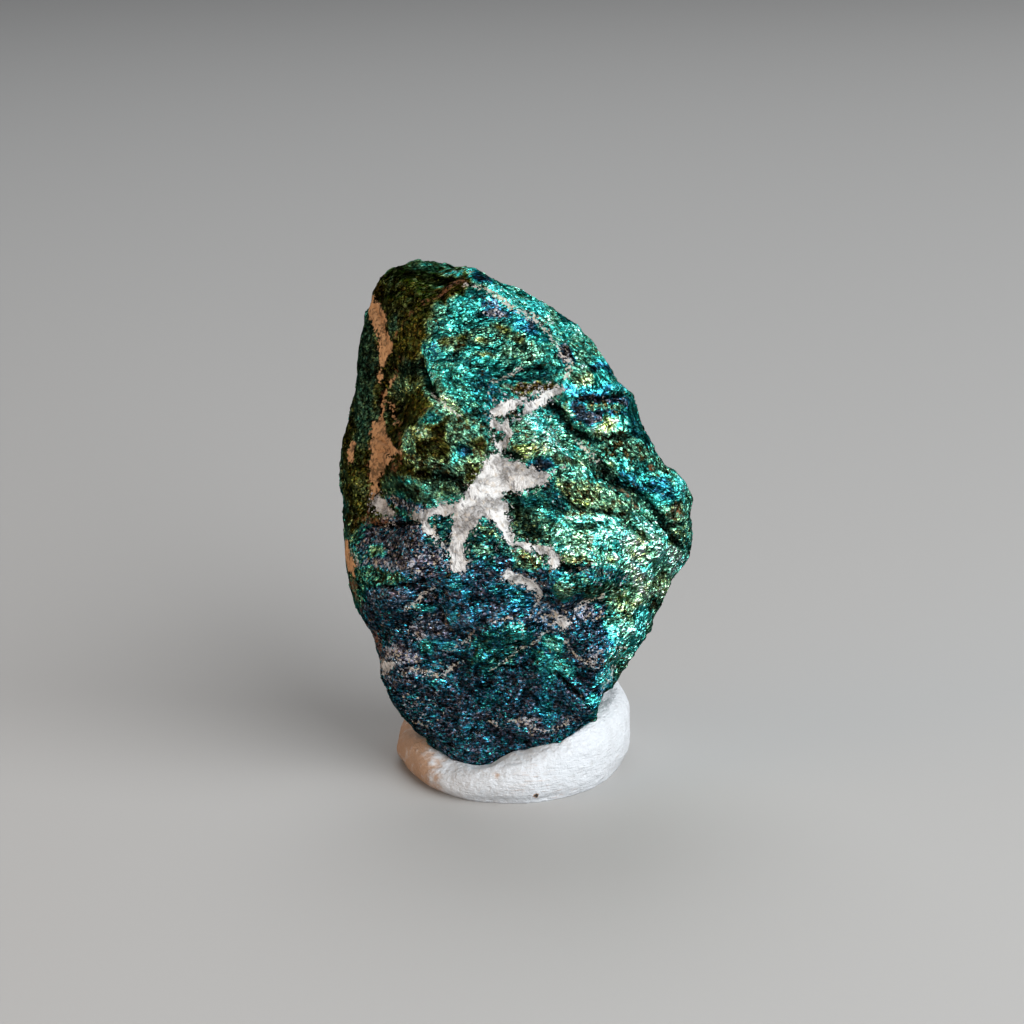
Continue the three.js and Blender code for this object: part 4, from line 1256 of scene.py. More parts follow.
@dataclass(frozen=True)
class PuttyFinish:
    """White mounting putty, rubbed by fingers: matte, faintly streaked, a little dirty, with painted warm
    shade on its left and painted shade between its lumps.

    Attributes:
        name: The material's name.
        white: Its colour.
        soil_and_warm_shade: Its colour where it has picked up dirt, and the painted warm shade on its left.
        hollow: Painted shade between its lumps.
        speck: The dark speck's colour.
    """

    name: str = "mounting putty"
    white: Colour = (0.505, 0.527, 0.55)
    soil_and_warm_shade: Colour = (0.33, 0.17, 0.07)
    hollow: Colour = (0.27, 0.25, 0.22)
    speck: Colour = (0.02, 0.02, 0.018)

    def make(self) -> bpy.types.Material:
        """Makes the material."""
        material = bpy.data.materials.new(self.name)
        material.use_nodes = True
        shade = Shading(material.node_tree)
        place = shade.object_place()
        fine = shade.cloud(place, 0.35, 4.0, 0.6)
        lumps = shade.cloud(place, 1.0, 3.0, 0.55)
        cloud = shade.cloud(place, 4.0, 3.0, 0.55)
        long = shade.node("ShaderNodeMapping", {"Vector": place, "Scale": (0.35, 0.35, 1.6)})
        rubbed = shade.cloud(long.outputs[0], 0.3, 4.0, 0.6)
        # How much soil each place has, with the painted warm shade over the pad's left.
        marked = shade.attribute("soil_and_warm_shade")
        soil_and_shade_share = shade.times(shade.span(cloud, 0.5, 0.75), shade.span(rubbed, 0.5, 0.68, 0.03, 0.45))
        mottled = shade.linear(lumps, -1.4, shade.plus(marked, 0.7))
        soil_and_shade_share = shade.larger(soil_and_shade_share, shade.span(mottled, 0.25, 0.85, 0.0, 0.85))
        colour = shade.mix(soil_and_shade_share, self.white, self.soil_and_warm_shade)
        # Painted shade between the lumps.
        colour = shade.mix(shade.span(lumps, 0.48, 0.30, 0.0, 0.16), colour, self.hollow)
        colour = shade.mix(shade.span(marked, 1.2, 1.7), colour, self.speck)
        height = shade.linear(rubbed, 0.9, shade.times(fine, 0.4))
        height = shade.linear(lumps, 1.5, height)
        bump = shade.node("ShaderNodeBump", {"Strength": 0.8, "Distance": 0.3 * MM, "Height": height})
        rough = shade.span(fine, 0.3, 0.7, 0.62, 0.78)
        surface = shade.node("ShaderNodeBsdfPrincipled", {"Base Color": colour, "Roughness": rough,
                                                          "Normal": bump.outputs[0]})
        shade.node("ShaderNodeOutputMaterial", {"Surface": surface.outputs[0]})
        return material


# ---- Meshes ----


def mesh_rows(mesh: Mesh, name: str) -> Array:
    """Reads the places ("co") or normals ("normal") of a mesh's points, one a row."""
    flat = np.empty(len(mesh.vertices) * 3, dtype=np.float32)
    mesh.vertices.foreach_get(name, flat)
    return flat.reshape(-1, 3).astype(np.float64)


def mesh_points(mesh: Mesh) -> Array:
    """Reads a mesh's points, in millimetres, one a row."""
    return mesh_rows(mesh, "co") / MM


def move_points(mesh: Mesh, points: Array) -> None:
    """Writes a mesh's points, given in millimetres."""
    mesh.vertices.foreach_set("co", (points * MM).astype(np.float32).ravel())
    mesh.update()


def average_of_neighbours(mesh: Mesh, values: Array, passes: int) -> Array:
    """Blurs values over a mesh.

    Args:
        mesh: The mesh that they lie on.
        values: One value, or one row, for each point.
        passes: How many times each one takes its neighbours' average.

    Returns:
        The blurred values.
    """
    pairs = np.empty(len(mesh.edges) * 2, dtype=np.int32)
    mesh.edges.foreach_get("vertices", pairs)
    first, last = pairs[0::2], pairs[1::2]
    counts = np.bincount(pairs, minlength=len(values)).astype(float)
    blurred = values.reshape(len(values), -1).astype(float)
    for _ in range(passes):
        sums = np.stack([np.bincount(first, column[last], len(values))
                         + np.bincount(last, column[first], len(values)) for column in blurred.T], axis=1)
        blurred = 0.5 * blurred + 0.5 * sums / counts[:, None]
    return blurred.reshape(values.shape)


def store_numbers(mesh: Mesh, name: str, values: Array) -> None:
    """Keeps one number for each point of a mesh, for its material to read."""
    mesh.attributes.new(name, "FLOAT", "POINT").data.foreach_set("value", values.astype(np.float32))


def plain_mesh(piece: bpy.types.Object) -> Mesh:
    """Turns an object and its modifiers into a plain mesh."""
    bpy.context.view_layer.update()
    return bpy.data.meshes.new_from_object(piece.evaluated_get(bpy.context.evaluated_depsgraph_get()))


def new_piece(name: str, mesh: Mesh) -> bpy.types.Object:
    """Puts a mesh into the scene as an object of its own."""
    mesh.name = name
    piece = bpy.data.objects.new(name, mesh)
    bpy.context.scene.collection.objects.link(piece)
    return piece


def finer_copy(node: bpy.types.Object, levels: int) -> Mesh:
    """Copies a solid's mesh and rounds it into a finer one.

    Args:
        node: The solid's object.
        levels: How many times it is subdivided.

    Returns:
        The new mesh, smooth shaded.
    """
    mesh = node.data.copy()
    mesh.materials.clear()
    build = bmesh.new()
    build.from_mesh(mesh)
    bmesh.ops.remove_doubles(build, verts=build.verts, dist=0.001 * MM)
    for face in build.faces:
        face.smooth = True
    build.to_mesh(mesh)
    build.free()
    holder = new_piece("finer copy", mesh)
    subdivision = holder.modifiers.new("finer", "SUBSURF")
    subdivision.levels = levels
    subdivision.render_levels = levels
    finer = plain_mesh(holder)
    bpy.data.objects.remove(holder)
    return finer


# ---- The chunk ----


FLAT_TURN = -10.0  # wrinkles that run down to the right by more degrees than this count as slanted
CRACK_DEPTH = 0.42
VEIN_DEPTH = 0.15


@dataclass(frozen=True)
class OutlineFit:
    """Eases the chunk's surface, so that its outline on the map is the one given.

    Attributes:
        filled: How many places are filled in along each of the outline's sides.
        ways: How many directions from the middle are compared.
        margin: How far outside the outline the surface ends, for its chips to cut into.
        limits: The least and the greatest stretch.
        blur: How much of each direction's stretch its neighbours take, on either side.
    """

    filled: int = 12
    ways: int = 120
    margin: float = 0.12
    limits: Pair = (0.94, 1.08)
    blur: tuple[float, ...] = (0.1, 0.2, 0.4, 0.2, 0.1)

    def _wanted(self, middles: Array) -> Array:
        """Measures how far the outline is from the middle in each direction."""
        corners = np.array(OUTLINE)
        closed = np.vstack([corners, corners[:1]])
        shares = np.linspace(0.0, 1.0, self.filled, endpoint=False)[:, None]
        dense = np.concatenate([first + (last - first) * shares for first, last in zip(closed, closed[1:])])
        angles = np.arctan2(dense[:, 1], dense[:, 0])
        order = np.argsort(angles)
        return np.interp(middles, angles[order], np.hypot(dense[:, 0], dense[:, 1])[order], period=math.tau)

    def _stretch(self, angles: Array, reaches: Array) -> Array:
        """Works out how far each point has to be stretched from the middle.

        Args:
            angles: Each point's direction from the middle.
            reaches: How far from it each point is.

        Returns:
            The stretch of each point, less 1.
        """
        middles = (np.arange(self.ways) + 0.5) / self.ways * 2.0 * math.pi - math.pi
        nearest = ((angles + math.pi) / (2.0 * math.pi) * self.ways).astype(int)
        found = np.zeros(self.ways)
        np.maximum.at(found, np.clip(nearest, 0, self.ways - 1), reaches)
        ratio = np.clip((self._wanted(middles) + self.margin) / found, *self.limits)
        shifts = range(-(len(self.blur) // 2), len(self.blur) // 2 + 1)
        blurred = sum(np.roll(ratio, shift) * weight for shift, weight in zip(shifts, self.blur))
        return np.interp(angles, middles, blurred, period=math.tau) - 1.0

    def eased(self, points: Array) -> Array:
        """Moves points in or out, across the display side; those near the middle and the hidden foot stay.

        Args:
            points: The surface's points.

        Returns:
            The points after easing.
        """
        places = VIEW.places(points)
        reaches = np.hypot(places[:, 0], places[:, 1])
        ease = self._stretch(np.arctan2(places[:, 1], places[:, 0]), reaches)
        bared = ramp(places[:, 0], -1.0, -4.0)
        low_end = bared * ramp(places[:, 1], -26.5, -25.0) + (1.0 - bared) * ramp(places[:, 1], -20.5, -17.0)
        ease *= ramp(reaches, 5.0, 15.0) * low_end
        right, up, _ = VIEW.axes()
        return points + (ease * places[:, 0])[:, None] * right + (ease * places[:, 1])[:, None] * up


@dataclass(frozen=True)
class OreChunk:
    """The chunk of ore: its broken surface and the marks on it.

    Attributes:
        node: The solid's name.
        fineness: How many times the solid's mesh is subdivided.
        slant: The way that its splits run on the display side, in radians from level.
        chips: Size, length over width, slope, step, crispness and seed of each set of facets.
        wrinkles: Spacing of the long wrinkles, and how many times longer than wide they are.
        grain: Height and wavelength of the finest unevenness.
        inset: How far the whole surface is drawn in, to keep the outline.
        toe: How far the foot's low point reaches forward.
        toe_middle: How far right that low point is.
    """

    node: str = "ore_chunk"
    fineness: int = 2
    slant: float = -0.62
    chips: tuple[tuple[float, ...], ...] = ((3.0, 1.5, 0.17, 0.1, 14.0, 71), (1.2, 1.4, 0.2, 0.035, 12.0, 91))
    wrinkles: Pair = (1.5, 3.2)
    grain: Pair = (0.03, 0.5)
    inset: float = 0.12
    toe: float = 1.6
    toe_middle: float = -3.8

    def build(self, frame: dict) -> bpy.types.Object:
        """Builds the chunk's surface over its solid.

        Args:
            frame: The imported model.

        Returns:
            The chunk's object.
        """
        mesh = finer_copy(frame["nodes"][self.node], self.fineness)
        outline = OutlineFit()
        move_points(mesh, outline.eased(mesh_points(mesh)))
        points = mesh_points(mesh)
        normals = mesh_rows(mesh, "normal")
        calm_normals = average_of_neighbours(mesh, normals, 12)
        calm_normals /= np.linalg.norm(calm_normals, axis=1)[:, None]
        marks = self.marks(points, calm_normals)
        moved = points + normals * self.relief(points, calm_normals, marks)[:, None]
        beside = np.abs(moved[:, 0] - self.toe_middle)
        low_front = ramp(moved[:, 2], 6.0, 1.6) * ramp(moved[:, 1], 0.0, -2.0)
        moved[:, 1] -= self.toe * ramp(beside, 3.6, 0.4) * low_front
        moved = outline.eased(outline.eased(moved))
        moved[:, 2] = np.maximum(moved[:, 2], points[:, 2].min())
        move_points(mesh, moved)
        # How far each point stands above its neighbours, which the metal's painted shade in hollows reads.
        height = np.sum((moved - average_of_neighbours(mesh, moved, 10)) * mesh_rows(mesh, "normal"), axis=1)
        marks["hollow"] = height / float(np.std(height))
        for name, values in marks.items():
            store_numbers(mesh, name, values)
        return new_piece("ore_surface", mesh)

    def marks(self, points: Array, normals: Array) -> dict[str, Array]:
        """Works out the marks at each point of the surface.

        Args:
            points: The surface's points.
            normals: Its calm normals, which tell the front from the back.

        Returns:
            For each mark's name, its number at each point.
        """
        facing = VIEW.facing(normals)
        wobble = np.stack([SolidNoise.layered(points, 1.9, 40 + axis) for axis in range(2)], axis=1)
        tear = np.stack([SolidNoise.layered(points, 6.0, 50 + axis) for axis in range(2)], axis=1)
        back_places = VIEW.places(points, behind=True)
        front = Side(VIEW.places(points), ramp(facing, -0.05, 0.2), wobble)
        torn = Side(back_places + 2.0 * tear, ramp(-facing, 0.05, 0.3), wobble)
        back = Side(back_places + 0.5 * (torn.places - back_places), torn.share, wobble)

        marks = self._painted(points, front, torn)
        ore_spots = deepest(0.2, (front, INCLUSIONS))
        quartz = np.minimum(deepest(0.22, (front, QUARTZ), (back, BACK_QUARTZ)), -ore_spots)
        stain = deepest(0.4, (front, STAINS), (back, BACK_STAINS))
        line = deepest(0.25, (front, PALE_LINES))
        cracked = ramp(deepest(0.12, (front, CRACKS), (back, BACK_CRACKS)), -0.22, 0.12)
        slanted = np.zeros(len(points))
        for flow in FLOWS:
            cover = flow.cover(front.places, 1.3, 0.8)
            slanted += (float(flow.turn < FLAT_TURN) - slanted) * cover * front.share
        away = front.share * ramp(facing, 0.6, 0.15) * ramp(points[:, 0], 2.0, 8.0)

        # Painted shade: the metal is darkened in the cracks and at the feet of ledges.
        marks["lustre_and_light"] *= 1.0 - 0.85 * cracked
        # Painted highlight: the metal is brightened on the right where the surface turns away from the
        # display side.
        marks["lustre_and_light"] *= 1.0 + 0.5 * away
        marks["lustre_and_light"] = np.clip(marks["lustre_and_light"], 0.03, 3.4)
        marks["pale"] = np.clip(0.55 * marks["pale"] + 0.38 * ramp(quartz, -0.8, 0.1), 0.0, 1.6)
        marks["quartz"] = quartz
        marks["stain"] = stain
        marks["line"] = line
        marks["rusty"] = deepest(0.3, (front, RUST_LINES))
        marks["cracked"] = cracked
        marks["flow"] = slanted
        marks["steep"] = 1.0 + 0.5 * away
        marks["grainy"] = ramp(front.places[:, 1], 1.5, -1.5) * front.share
        marks["flaky"] = ramp(np.maximum(quartz, stain), -0.1, -0.3)
        vein_edge = ramp(np.abs(quartz + 0.15), 0.45, 0.15)
        marks["crumbly"] = np.maximum(vein_edge, 0.5 * ramp(line, -0.15, 0.1))
        return marks

    def _painted(self, points: Array, front: Side, back: Side) -> dict[str, Array]:
        """Lays the patches of tarnish over a cloudy ground.

        Args:
            points: The surface's points.
            front: The display side.
            back: The side away from the viewer.

        Returns:
            The film, the lustre with its painted light and shade, how worn it is and how thick the pale
            threads are, at each point.
        """
        frayed = np.stack([SolidNoise.smooth(points, 0.6, 45 + axis) for axis in range(2)], axis=1)
        film = 0.56 + 0.24 * SolidNoise.layered(points, 9.0, 3)
        lustre_and_light = 0.5 + 0.3 * SolidNoise.layered(points, 5.0, 5)
        worn = 0.35 + 0.3 * SolidNoise.layered(points, 4.0, 25, 2)
        pale = np.zeros(len(points))
        behind = BACK_PATCHES + scattered_patches(count=150, seed=8)
        for side, patches in ((front, FRONT_PATCHES), (back, behind)):
            for patch in patches:
                strayed = side.places + patch.shake() * (0.7 * side.wobble + 0.5 * frayed)
                cover = patch.cover(strayed) * side.share
                film += (patch.tarnish.value - film) * cover
                lustre_and_light += (patch.lustre_and_light - lustre_and_light) * cover
                worn += (patch.worn - worn) * cover
                pale += (patch.threads - pale) * cover
        film += 0.05 * SolidNoise.layered(points, 2.6, 11)
        lustre_and_light *= 1.0 + 0.3 * SolidNoise.layered(points, 1.6, 12, 2)
        return {"film": np.clip(film, 0.0, 1.0), "lustre_and_light": lustre_and_light, "worn": worn, "pale": pale}

    def relief(self, points: Array, normals: Array, marks: dict[str, Array]) -> Array:
        """Works out how far the broken surface stands out from the solid.

        Args:
            points: The surface's points.
            normals: Its calm normals.
            marks: Its marks.

        Returns:
            The rise at each point.
        """
        right, up, out = VIEW.axes()
        middle = points - np.array(VIEW.middle)
        flat = np.stack([middle @ right, middle @ up, middle @ out], axis=1)
        flat += 0.5 * np.stack([SolidNoise.smooth(points, 2.2, 60 + axis) for axis in range(3)], axis=1)
        on_front = ramp(VIEW.facing(normals), -0.05, 0.2)
        covered = ramp(np.maximum(marks["quartz"], marks["stain"]), -0.2, 0.3)
        calm = 1.0 - 0.3 * ramp(-normals[:, 0], 0.35, 0.7) - 0.4 * covered
        calm *= 1.0 - 0.35 * ramp(marks["lustre_and_light"], 0.9, 0.4) * on_front

        turned = self._turned(flat, self.slant)
        rise = np.zeros(len(points))
        for size, length, slope, step, crispness, seed in self.chips:
            rise += SolidNoise.chips(turned, (size * length, size, size), slope, step, crispness, seed)
        rise *= calm
        rise += self._wrinkle(turned, 30) * 0.1 * calm * (1.0 - on_front)
        front = VIEW.places(points)
        for index, flow in enumerate(FLOWS):
            cover = flow.cover(front, 1.25, 0.85)
            ridges = self._wrinkle(self._turned(flat, math.radians(flow.turn)), 31 + index)
            rise += flow.height * ridges * cover * on_front * calm
        height, wavelength = self.grain
        rise += height * SolidNoise.layered(points, wavelength, 33, 2)
        rise -= CRACK_DEPTH * marks["cracked"]
        rise -= VEIN_DEPTH * ramp(marks["quartz"], -0.1, 0.4)
        return rise - self.inset

    def _turned(self, flat: Array, angle: float) -> Array:
        """Turns places that lie along the map's directions, so that the first runs at an angle from level."""
        along = flat[:, 0] * math.cos(angle) + flat[:, 1] * math.sin(angle)
        across = flat[:, 1] * math.cos(angle) - flat[:, 0] * math.sin(angle)
        return np.stack([along, across, flat[:, 2]], axis=1)

    def _wrinkle(self, turned: Array, seed: int) -> Array:
        """Makes long sharp-crested wrinkles that run along the first direction, from about -1 to 1."""
        spacing, length = self.wrinkles
        drawn = turned / np.array([length, 1.0, 1.0])
        broad = 1.0 - 2.6 * np.abs(SolidNoise.smooth(drawn, spacing, seed))
        narrow = 1.0 - 2.6 * np.abs(SolidNoise.smooth(drawn, 0.5 * spacing, seed + 50))
        return broad + 0.5 * narrow


@dataclass(frozen=True)
class GrainCrust:
    """Tiny chips of crystal that crust a surface, each catching the light by itself.

    Attributes:
        name: The piece's name.
        where: The mark that says how thickly they lie.
        density: How many there are on a square millimetre where the mark is 1.
        smallest: The smallest grain's half-sizes.
        largest: The largest grain's half-sizes.
        lean: How far a grain may lean, in radians.
        own_marks: The marks that every grain has for itself, with their lowest and highest number.
        seed: Picks one of many scatters.
    """

    name: str
    where: str
    density: float
    smallest: Triple
    largest: Triple
    lean: float
    own_marks: tuple[tuple[str, float, float], ...]
    seed: int

    def build(self, ground: bpy.types.Object, material: bpy.types.Material) -> bpy.types.Object:
        """Scatters the grains over a surface.

        Args:
            ground: The surface, with its marks.
            material: The grains' finish.

        Returns:
            The grains' object, one plain mesh.
        """
        holder = new_piece(self.name + " holder", ground.data.copy())
        modifier = holder.modifiers.new("grains", "NODES")
        modifier.node_group = self._tree(material)
        sizes = {"Density": self.density / MM**2, "Smallest": tuple(part * MM for part in self.smallest),
                 "Largest": tuple(part * MM for part in self.largest), "Lean": self.lean}
        for item in modifier.node_group.interface.items_tree:
            if item.item_type == "SOCKET" and item.name in sizes:
                modifier[item.identifier] = sizes[item.name]
        mesh = plain_mesh(holder)
        bpy.data.objects.remove(holder)
        return new_piece(self.name, mesh)

    def _tree(self, material: bpy.types.Material) -> Tree:
        """Builds the scatter's node tree."""
        tree = bpy.data.node_groups.new(self.name, "GeometryNodeTree")
        for name, kind in (("Ground", "Geometry"), ("Density", "Float"), ("Smallest", "Vector"),
                           ("Largest", "Vector"), ("Lean", "Float")):
            tree.interface.new_socket(name, in_out="INPUT", socket_type="NodeSocket" + kind)
        tree.interface.new_socket("Grains", in_out="OUTPUT", socket_type="NodeSocketGeometry")
        build = Shading(tree)
        given = build.node("NodeGroupInput")
        ground, density, smallest, largest, lean = given.outputs[:5]
        mark = build.node("GeometryNodeInputNamedAttribute", {"Name": self.where}, data_type="FLOAT")
        thickly = build.times(mark.outputs[0], density)
        scatter = build.node("GeometryNodeDistributePointsOnFaces",
                             {"Mesh": ground, "Density": thickly, "Seed": self.seed})
        chip = build.node("GeometryNodeMeshUVSphere", {"Segments": 5, "Rings": 3, "Radius": 1.0})
        flat = build.node("GeometryNodeSetShadeSmooth", {"Geometry": chip.outputs[0], "Shade Smooth": False})
        tip = build.node("FunctionNodeRandomValue", {0: (-1.0, -1.0, -3.1), 1: (1.0, 1.0, 3.1),
                                                     "Seed": self.seed + 1}, data_type="FLOAT_VECTOR")
        leaned = build.node("ShaderNodeCombineXYZ", {"X": lean, "Y": lean, "Z": 1.0})
        tipped = build.vector("MULTIPLY", tip.outputs[0], leaned.outputs[0])
        lean_turn = build.node("FunctionNodeEulerToRotation", {0: tipped})
        turn = build.node("FunctionNodeRotateRotation",
                          {"Rotation": scatter.outputs["Rotation"], "Rotate By": lean_turn.outputs[0]},
                          rotation_space="LOCAL")
        size = build.node("FunctionNodeRandomValue", {0: smallest, 1: largest, "Seed": self.seed + 2},
                          data_type="FLOAT_VECTOR")
        placed = build.node("GeometryNodeInstanceOnPoints",
                            {"Points": scatter.outputs[0], "Instance": flat.outputs[0],
                             "Rotation": turn.outputs[0], "Scale": size.outputs[0]}).outputs[0]
        for index, (name, low, high) in enumerate(self.own_marks):
            number = build.node("FunctionNodeRandomValue", {2: low, 3: high, "Seed": self.seed + 3 + index},
                                data_type="FLOAT")
            placed = build.node("GeometryNodeStoreNamedAttribute",
                                {"Geometry": placed, "Name": name, "Value": number.outputs[1]},
                                data_type="FLOAT", domain="INSTANCE").outputs[0]
        real = build.node("GeometryNodeRealizeInstances", {"Geometry": placed})
        dressed = build.node("GeometryNodeSetMaterial", {"Geometry": real.outputs[0], "Material": material})
        build.node("NodeGroupOutput", {0: dressed.outputs[0]})
        return tree


CRUSTS = (
    # Each flake's own hollow number gives it a painted shade of its own.
    GrainCrust(
        name="ore_flakes", where="flaky", density=1.6, smallest=(0.07, 0.07, 0.03), largest=(0.2, 0.16, 0.07),
        lean=0.4, own_marks=(("hollow", 0.2, 1.2),), seed=4),
    GrainCrust(
        name="quartz_crumbs", where="crumbly", density=3.2, smallest=(0.04, 0.04, 0.04),
        largest=(0.12, 0.1, 0.09), lean=1.2, own_marks=(("quartz", 0.3, 0.9), ("stain", -1.0, -1.0)), seed=9),
)


# ---- The putty pad ----


@dataclass(frozen=True)
class PuttyPad:
    """The wad of putty: a cake with a rounded rim, rubbed by fingers and pressed up against the chunk.

    Attributes:
        node: The solid's name.
        voxel: The size of the remeshed faces.
        rub: Height of the finger-rubbed creases.
        speck: The dark speck on its side, right and up on the map, with its half-width.
        smudge: The brown smudge by the chunk, the same way.
        lip: The line on the map that the putty's front reaches up to against the chunk.
        bulge: How much higher its left end stands.
        flat: Below this height the underside stays flat.
        waves: How quickly the rubbed creases follow each other around the rim.
        press_reach: How near to the chunk the putty is drawn up against it.
        overlap: How far inside the chunk's surface it then ends.
    """

    node: str = "putty_pad"
    voxel: float = 0.24
    rub: float = 0.12
    speck: Triple = (2.4, -28.2, 0.2)
    smudge: Triple = (-1.7, -26.1, 0.55)
    lip: tuple[Pair, ...] = (
        (-10, -21.6), (-8.2, -23.1), (-6, -25), (-4, -25.7), (-2, -25.3), (0, -24.2), (2, -23.7),
        (3.3, -23.1), (6.6, -20.8), (9.1, -19.1))
    bulge: float = 1.1
    flat: float = 0.35
    waves: float = 4.2
    press_reach: float = 1.6
    overlap: float = 0.05

    def build(self, frame: dict, chunk: bpy.types.Object) -> bpy.types.Object:
        """Builds the pad's surface over its solid.

        Args:
            frame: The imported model.
            chunk: The chunk that it holds.

        Returns:
            The pad's object.
        """
        mesh = finer_copy(frame["nodes"][self.node], 0)
        holder = new_piece("pad holder", mesh)
        remesh = holder.modifiers.new("remesh", "REMESH")
        remesh.mode = "VOXEL"
        remesh.voxel_size = self.voxel * MM
        remesh.use_smooth_shade = True
        finer = plain_mesh(holder)
        bpy.data.objects.remove(holder)

        points = mesh_points(finer)
        calm = average_of_neighbours(finer, points, 6)
        lowest = points[:, 2] < self.flat
        calm[lowest, 2] = points[lowest, 2]
        calm[:, 2] += self.bulge * ramp(calm[:, 0], -6.0, -10.0) * ramp(calm[:, 2], 0.3, 3.0)
        calm = self._lowered(calm)
        move_points(finer, calm)
        normals = mesh_rows(finer, "normal")
        moved = calm + normals * self._creases(calm, normals)[:, None]
        moved[:, 2] = np.maximum(moved[:, 2], 0.0)
        moved = self._press(finer, moved, chunk)
        move_points(finer, moved)
        store_numbers(finer, "soil_and_warm_shade", self._soil_and_warm_shade(moved))
        return new_piece("putty_surface", finer)

    def _spot(self, spot: Triple, points: Array) -> Array:
        """Tells how much of each point a round spot on the putty's front covers, from 0 to 1."""
        right, up, half = spot
        away = np.linalg.norm(VIEW.places(points) - np.array([right, up]), axis=1)
        return ramp(away, half * 1.3, half * 0.6) * (points[:, 1] < 0)

    def _soil_and_warm_shade(self, points: Array) -> Array:
        """Works out how much soil and painted warm shade each point has: at most 0.85, but 3 at the dark
        speck.
        """
        # Painted warm shade over the left of the pad.
        warm_shade_left = ramp(VIEW.places(points)[:, 0] + 0.8 * SolidNoise.layered(points, 2.4, 9, 2), -4.4, -9.4)
        speck = self._spot(self.speck, points)
        smudge = self._spot(self.smudge, points)
        return np.max([3.0 * speck, 0.4 * smudge, 0.85 * warm_shade_left], axis=0)

    def _lowered(self, points: Array) -> Array:
        """Lowers the putty in front of the chunk to its lip."""
        places = VIEW.places(points)
        line = np.array(self.lip)
        over = np.clip(places[:, 1] - np.interp(places[:, 0], line[:, 0], line[:, 1]), 0.0, 2.4)
        share = ramp(points[:, 1], -1.0, -3.5) * ramp(np.abs(places[:, 0] + 0.4), 10.4, 9.0)
        lowered = points.copy()
        lowered[:, 2] -= np.minimum(over / math.cos(VIEW.tilt) * share, np.maximum(points[:, 2] - 0.8, 0.0))
        return lowered

    def _creases(self, points: Array, normals: Array) -> Array:
        """Works out the rubbed creases' rise at each point."""
        angle = np.arctan2(points[:, 1], points[:, 0])
        around = np.stack([angle * self.waves, np.hypot(points[:, 0], points[:, 1]), points[:, 2]], axis=1)
        creases = SolidNoise.layered(around, 0.8, 5)
        dents = SolidNoise.layered(points, 3.2, 7, 2)
        return np.where(normals[:, 2] < -0.8, 0.0, self.rub * creases + 1.2 * self.rub * dents)

    def _press(self, mesh: Mesh, points: Array, chunk: bpy.types.Object) -> Array:
        """Draws the putty near the chunk up against it.

        Args:
            mesh: The pad's mesh.
            points: The pad's points.
            chunk: The chunk.

        Returns:
            The points after pressing.
        """
        build = bmesh.new()
        build.from_mesh(chunk.data)
        tree = BVHTree.FromBMesh(build)
        build.free()
        pressed = points.copy()
        for index in np.flatnonzero(points[:, 2] > 0.6):
            spot, normal, _, distance = tree.find_nearest(Vector(points[index] * MM), self.press_reach * MM)
            if spot is None:
                continue
            share = float(ramp(np.array([distance / MM]), 1.5, 0.4)[0])
            target = np.array(spot - normal * self.overlap * MM) / MM
            pressed[index] = points[index] + (target - points[index]) * share
        return points + average_of_neighbours(mesh, pressed - points, 4)


# ---- The studio ----


@dataclass(frozen=True)
class Softbox:
    """A soft light.

    Attributes:
        name: What it is.
        at: Its place.
        size: Its sides.
        power: Its power, in watts.
        colour: Its colour.
    """

    name: str
    at: Triple
    size: Pair
    power: float
    colour: Colour

    def place(self) -> None:
        """Puts the light into the scene, aimed at the chunk's middle."""
        data = bpy.data.lights.new(self.name, "AREA")
        data.shape = "RECTANGLE"
        data.size, data.size_y = (side * MM for side in self.size)
        data.energy = self.power
        data.color = self.colour
        light = bpy.data.objects.new(self.name, data)
        light.location = Vector(self.at) * MM
        aim = Vector(VIEW.middle) * MM - light.location
        light.rotation_euler = aim.to_track_quat("-Z", "Y").to_euler()
        bpy.context.scene.collection.objects.link(light)


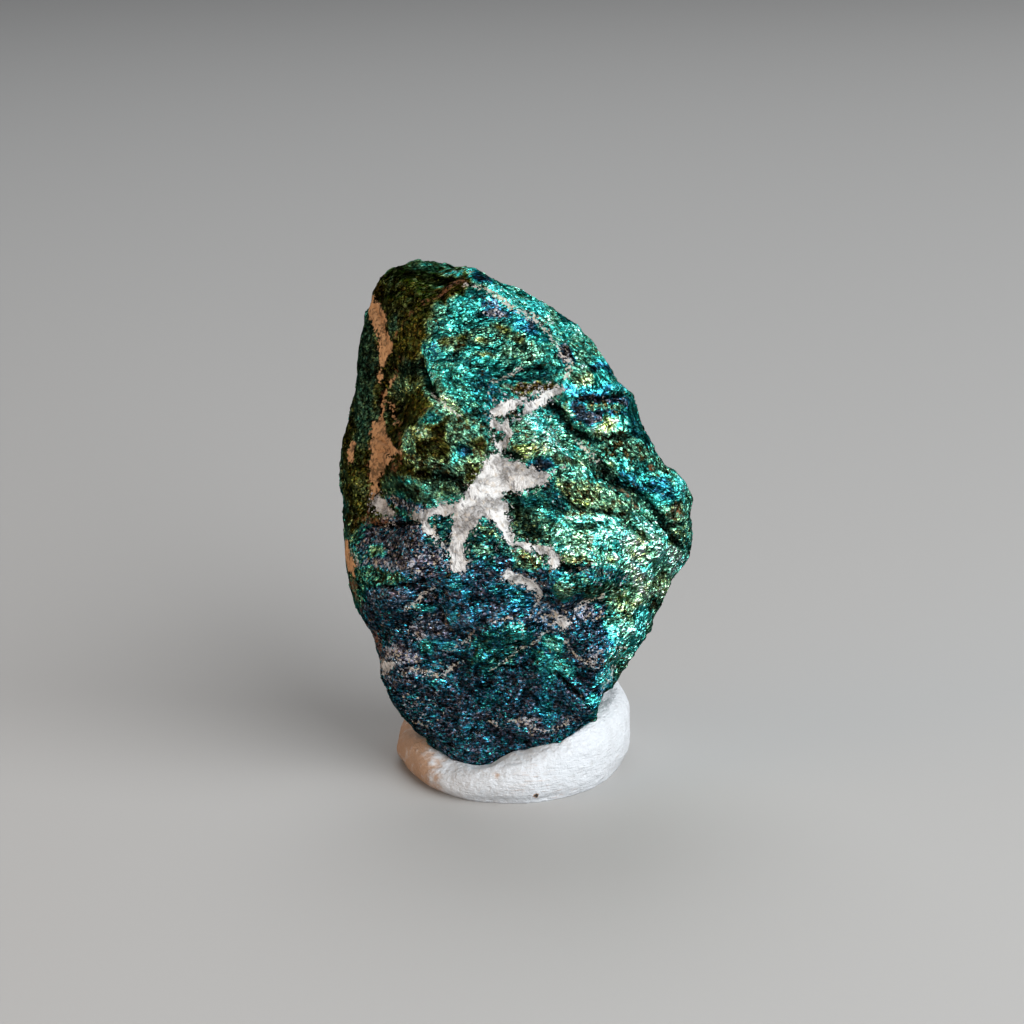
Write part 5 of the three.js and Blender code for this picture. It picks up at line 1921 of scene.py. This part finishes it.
@dataclass(frozen=True)
class Studio:
    """A pale floor under soft lights, the brightest from the right.

    Attributes:
        lights: The lights.
        floor_colour: The floor's colour.
        floor_roughness: Its roughness.
        floor_half: Half its side.
        haze: The surroundings' brightness.
        haze_colour: Their colour.
    """

    lights: tuple[Softbox, ...] = (
        Softbox("right key", (350.0, -290.0, 270.0), (540.0, 540.0), 6.0, (0.97, 0.985, 1.0)),
        Softbox("front veil", (-120.0, -430.0, 110.0), (600.0, 420.0), 0.95, (0.92, 0.96, 1.0)),
        Softbox("left fill", (-330.0, -120.0, 90.0), (200.0, 240.0), 0.5, (1.0, 0.66, 0.40)),
        Softbox("top back", (-60.0, 320.0, 400.0), (400.0, 300.0), 1.0, (0.92, 0.96, 1.0)),
        Softbox("right back", (330.0, 360.0, 160.0), (340.0, 300.0), 0.4, (0.97, 0.985, 1.0)),
    )
    floor_colour: Colour = (0.36, 0.355, 0.345)
    floor_roughness: float = 0.6
    floor_half: float = 3000.0
    haze: float = 0.09
    haze_colour: Colour = (0.9, 0.92, 1.0)

    def build(self) -> None:
        """Builds the floor, the lights and the surroundings."""
        half = self.floor_half * MM
        mesh = bpy.data.meshes.new("floor")
        corners = [(-half, -half, 0), (half, -half, 0), (half, half, 0), (-half, half, 0)]
        mesh.from_pydata(corners, [], [(0, 1, 2, 3)])
        floor = new_piece("floor", mesh)
        material = bpy.data.materials.new("pale floor")
        material.use_nodes = True
        surface = material.node_tree.nodes["Principled BSDF"]
        surface.inputs["Base Color"].default_value = (*self.floor_colour, 1.0)
        surface.inputs["Roughness"].default_value = self.floor_roughness
        mesh.materials.append(material)
        floor.visible_glossy = False
        for light in self.lights:
            light.place()
        world = bpy.data.worlds.new("surroundings")
        world.use_nodes = True
        background = world.node_tree.nodes["Background"]
        background.inputs["Color"].default_value = (*self.haze_colour, 1.0)
        background.inputs["Strength"].default_value = self.haze
        bpy.context.scene.world = world
        bpy.context.scene.view_settings.view_transform = "Standard"


def main() -> None:
    """Builds every piece in order, and reports each one's triangle count."""
    logging.basicConfig(level=logging.INFO, format="%(name)s: %(message)s", stream=sys.stdout)
    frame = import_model()
    VIEW.make_camera()
    Studio().build()

    ore_finish = OreFinish().make(CrinkleGroup().build())
    chunk = OreChunk().build(frame)
    chunk.data.materials.append(ore_finish)
    pieces = [(chunk, "ore_chunk", "ore")]
    for crust in CRUSTS:
        pieces.append((crust.build(chunk, ore_finish), "ore_chunk", "ore"))
    pad = PuttyPad().build(frame, chunk)
    pad.data.materials.append(PuttyFinish().make())
    pieces.append((pad, "putty_pad", "putty"))

    for piece, node, slot in pieces:
        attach(piece, "root")
        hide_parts(node)
        triangles = sum(len(face.vertices) - 2 for face in piece.data.polygons)
        LOG.info("%s: %d triangles", piece.name, triangles)


if __name__ == "__main__":
    main()
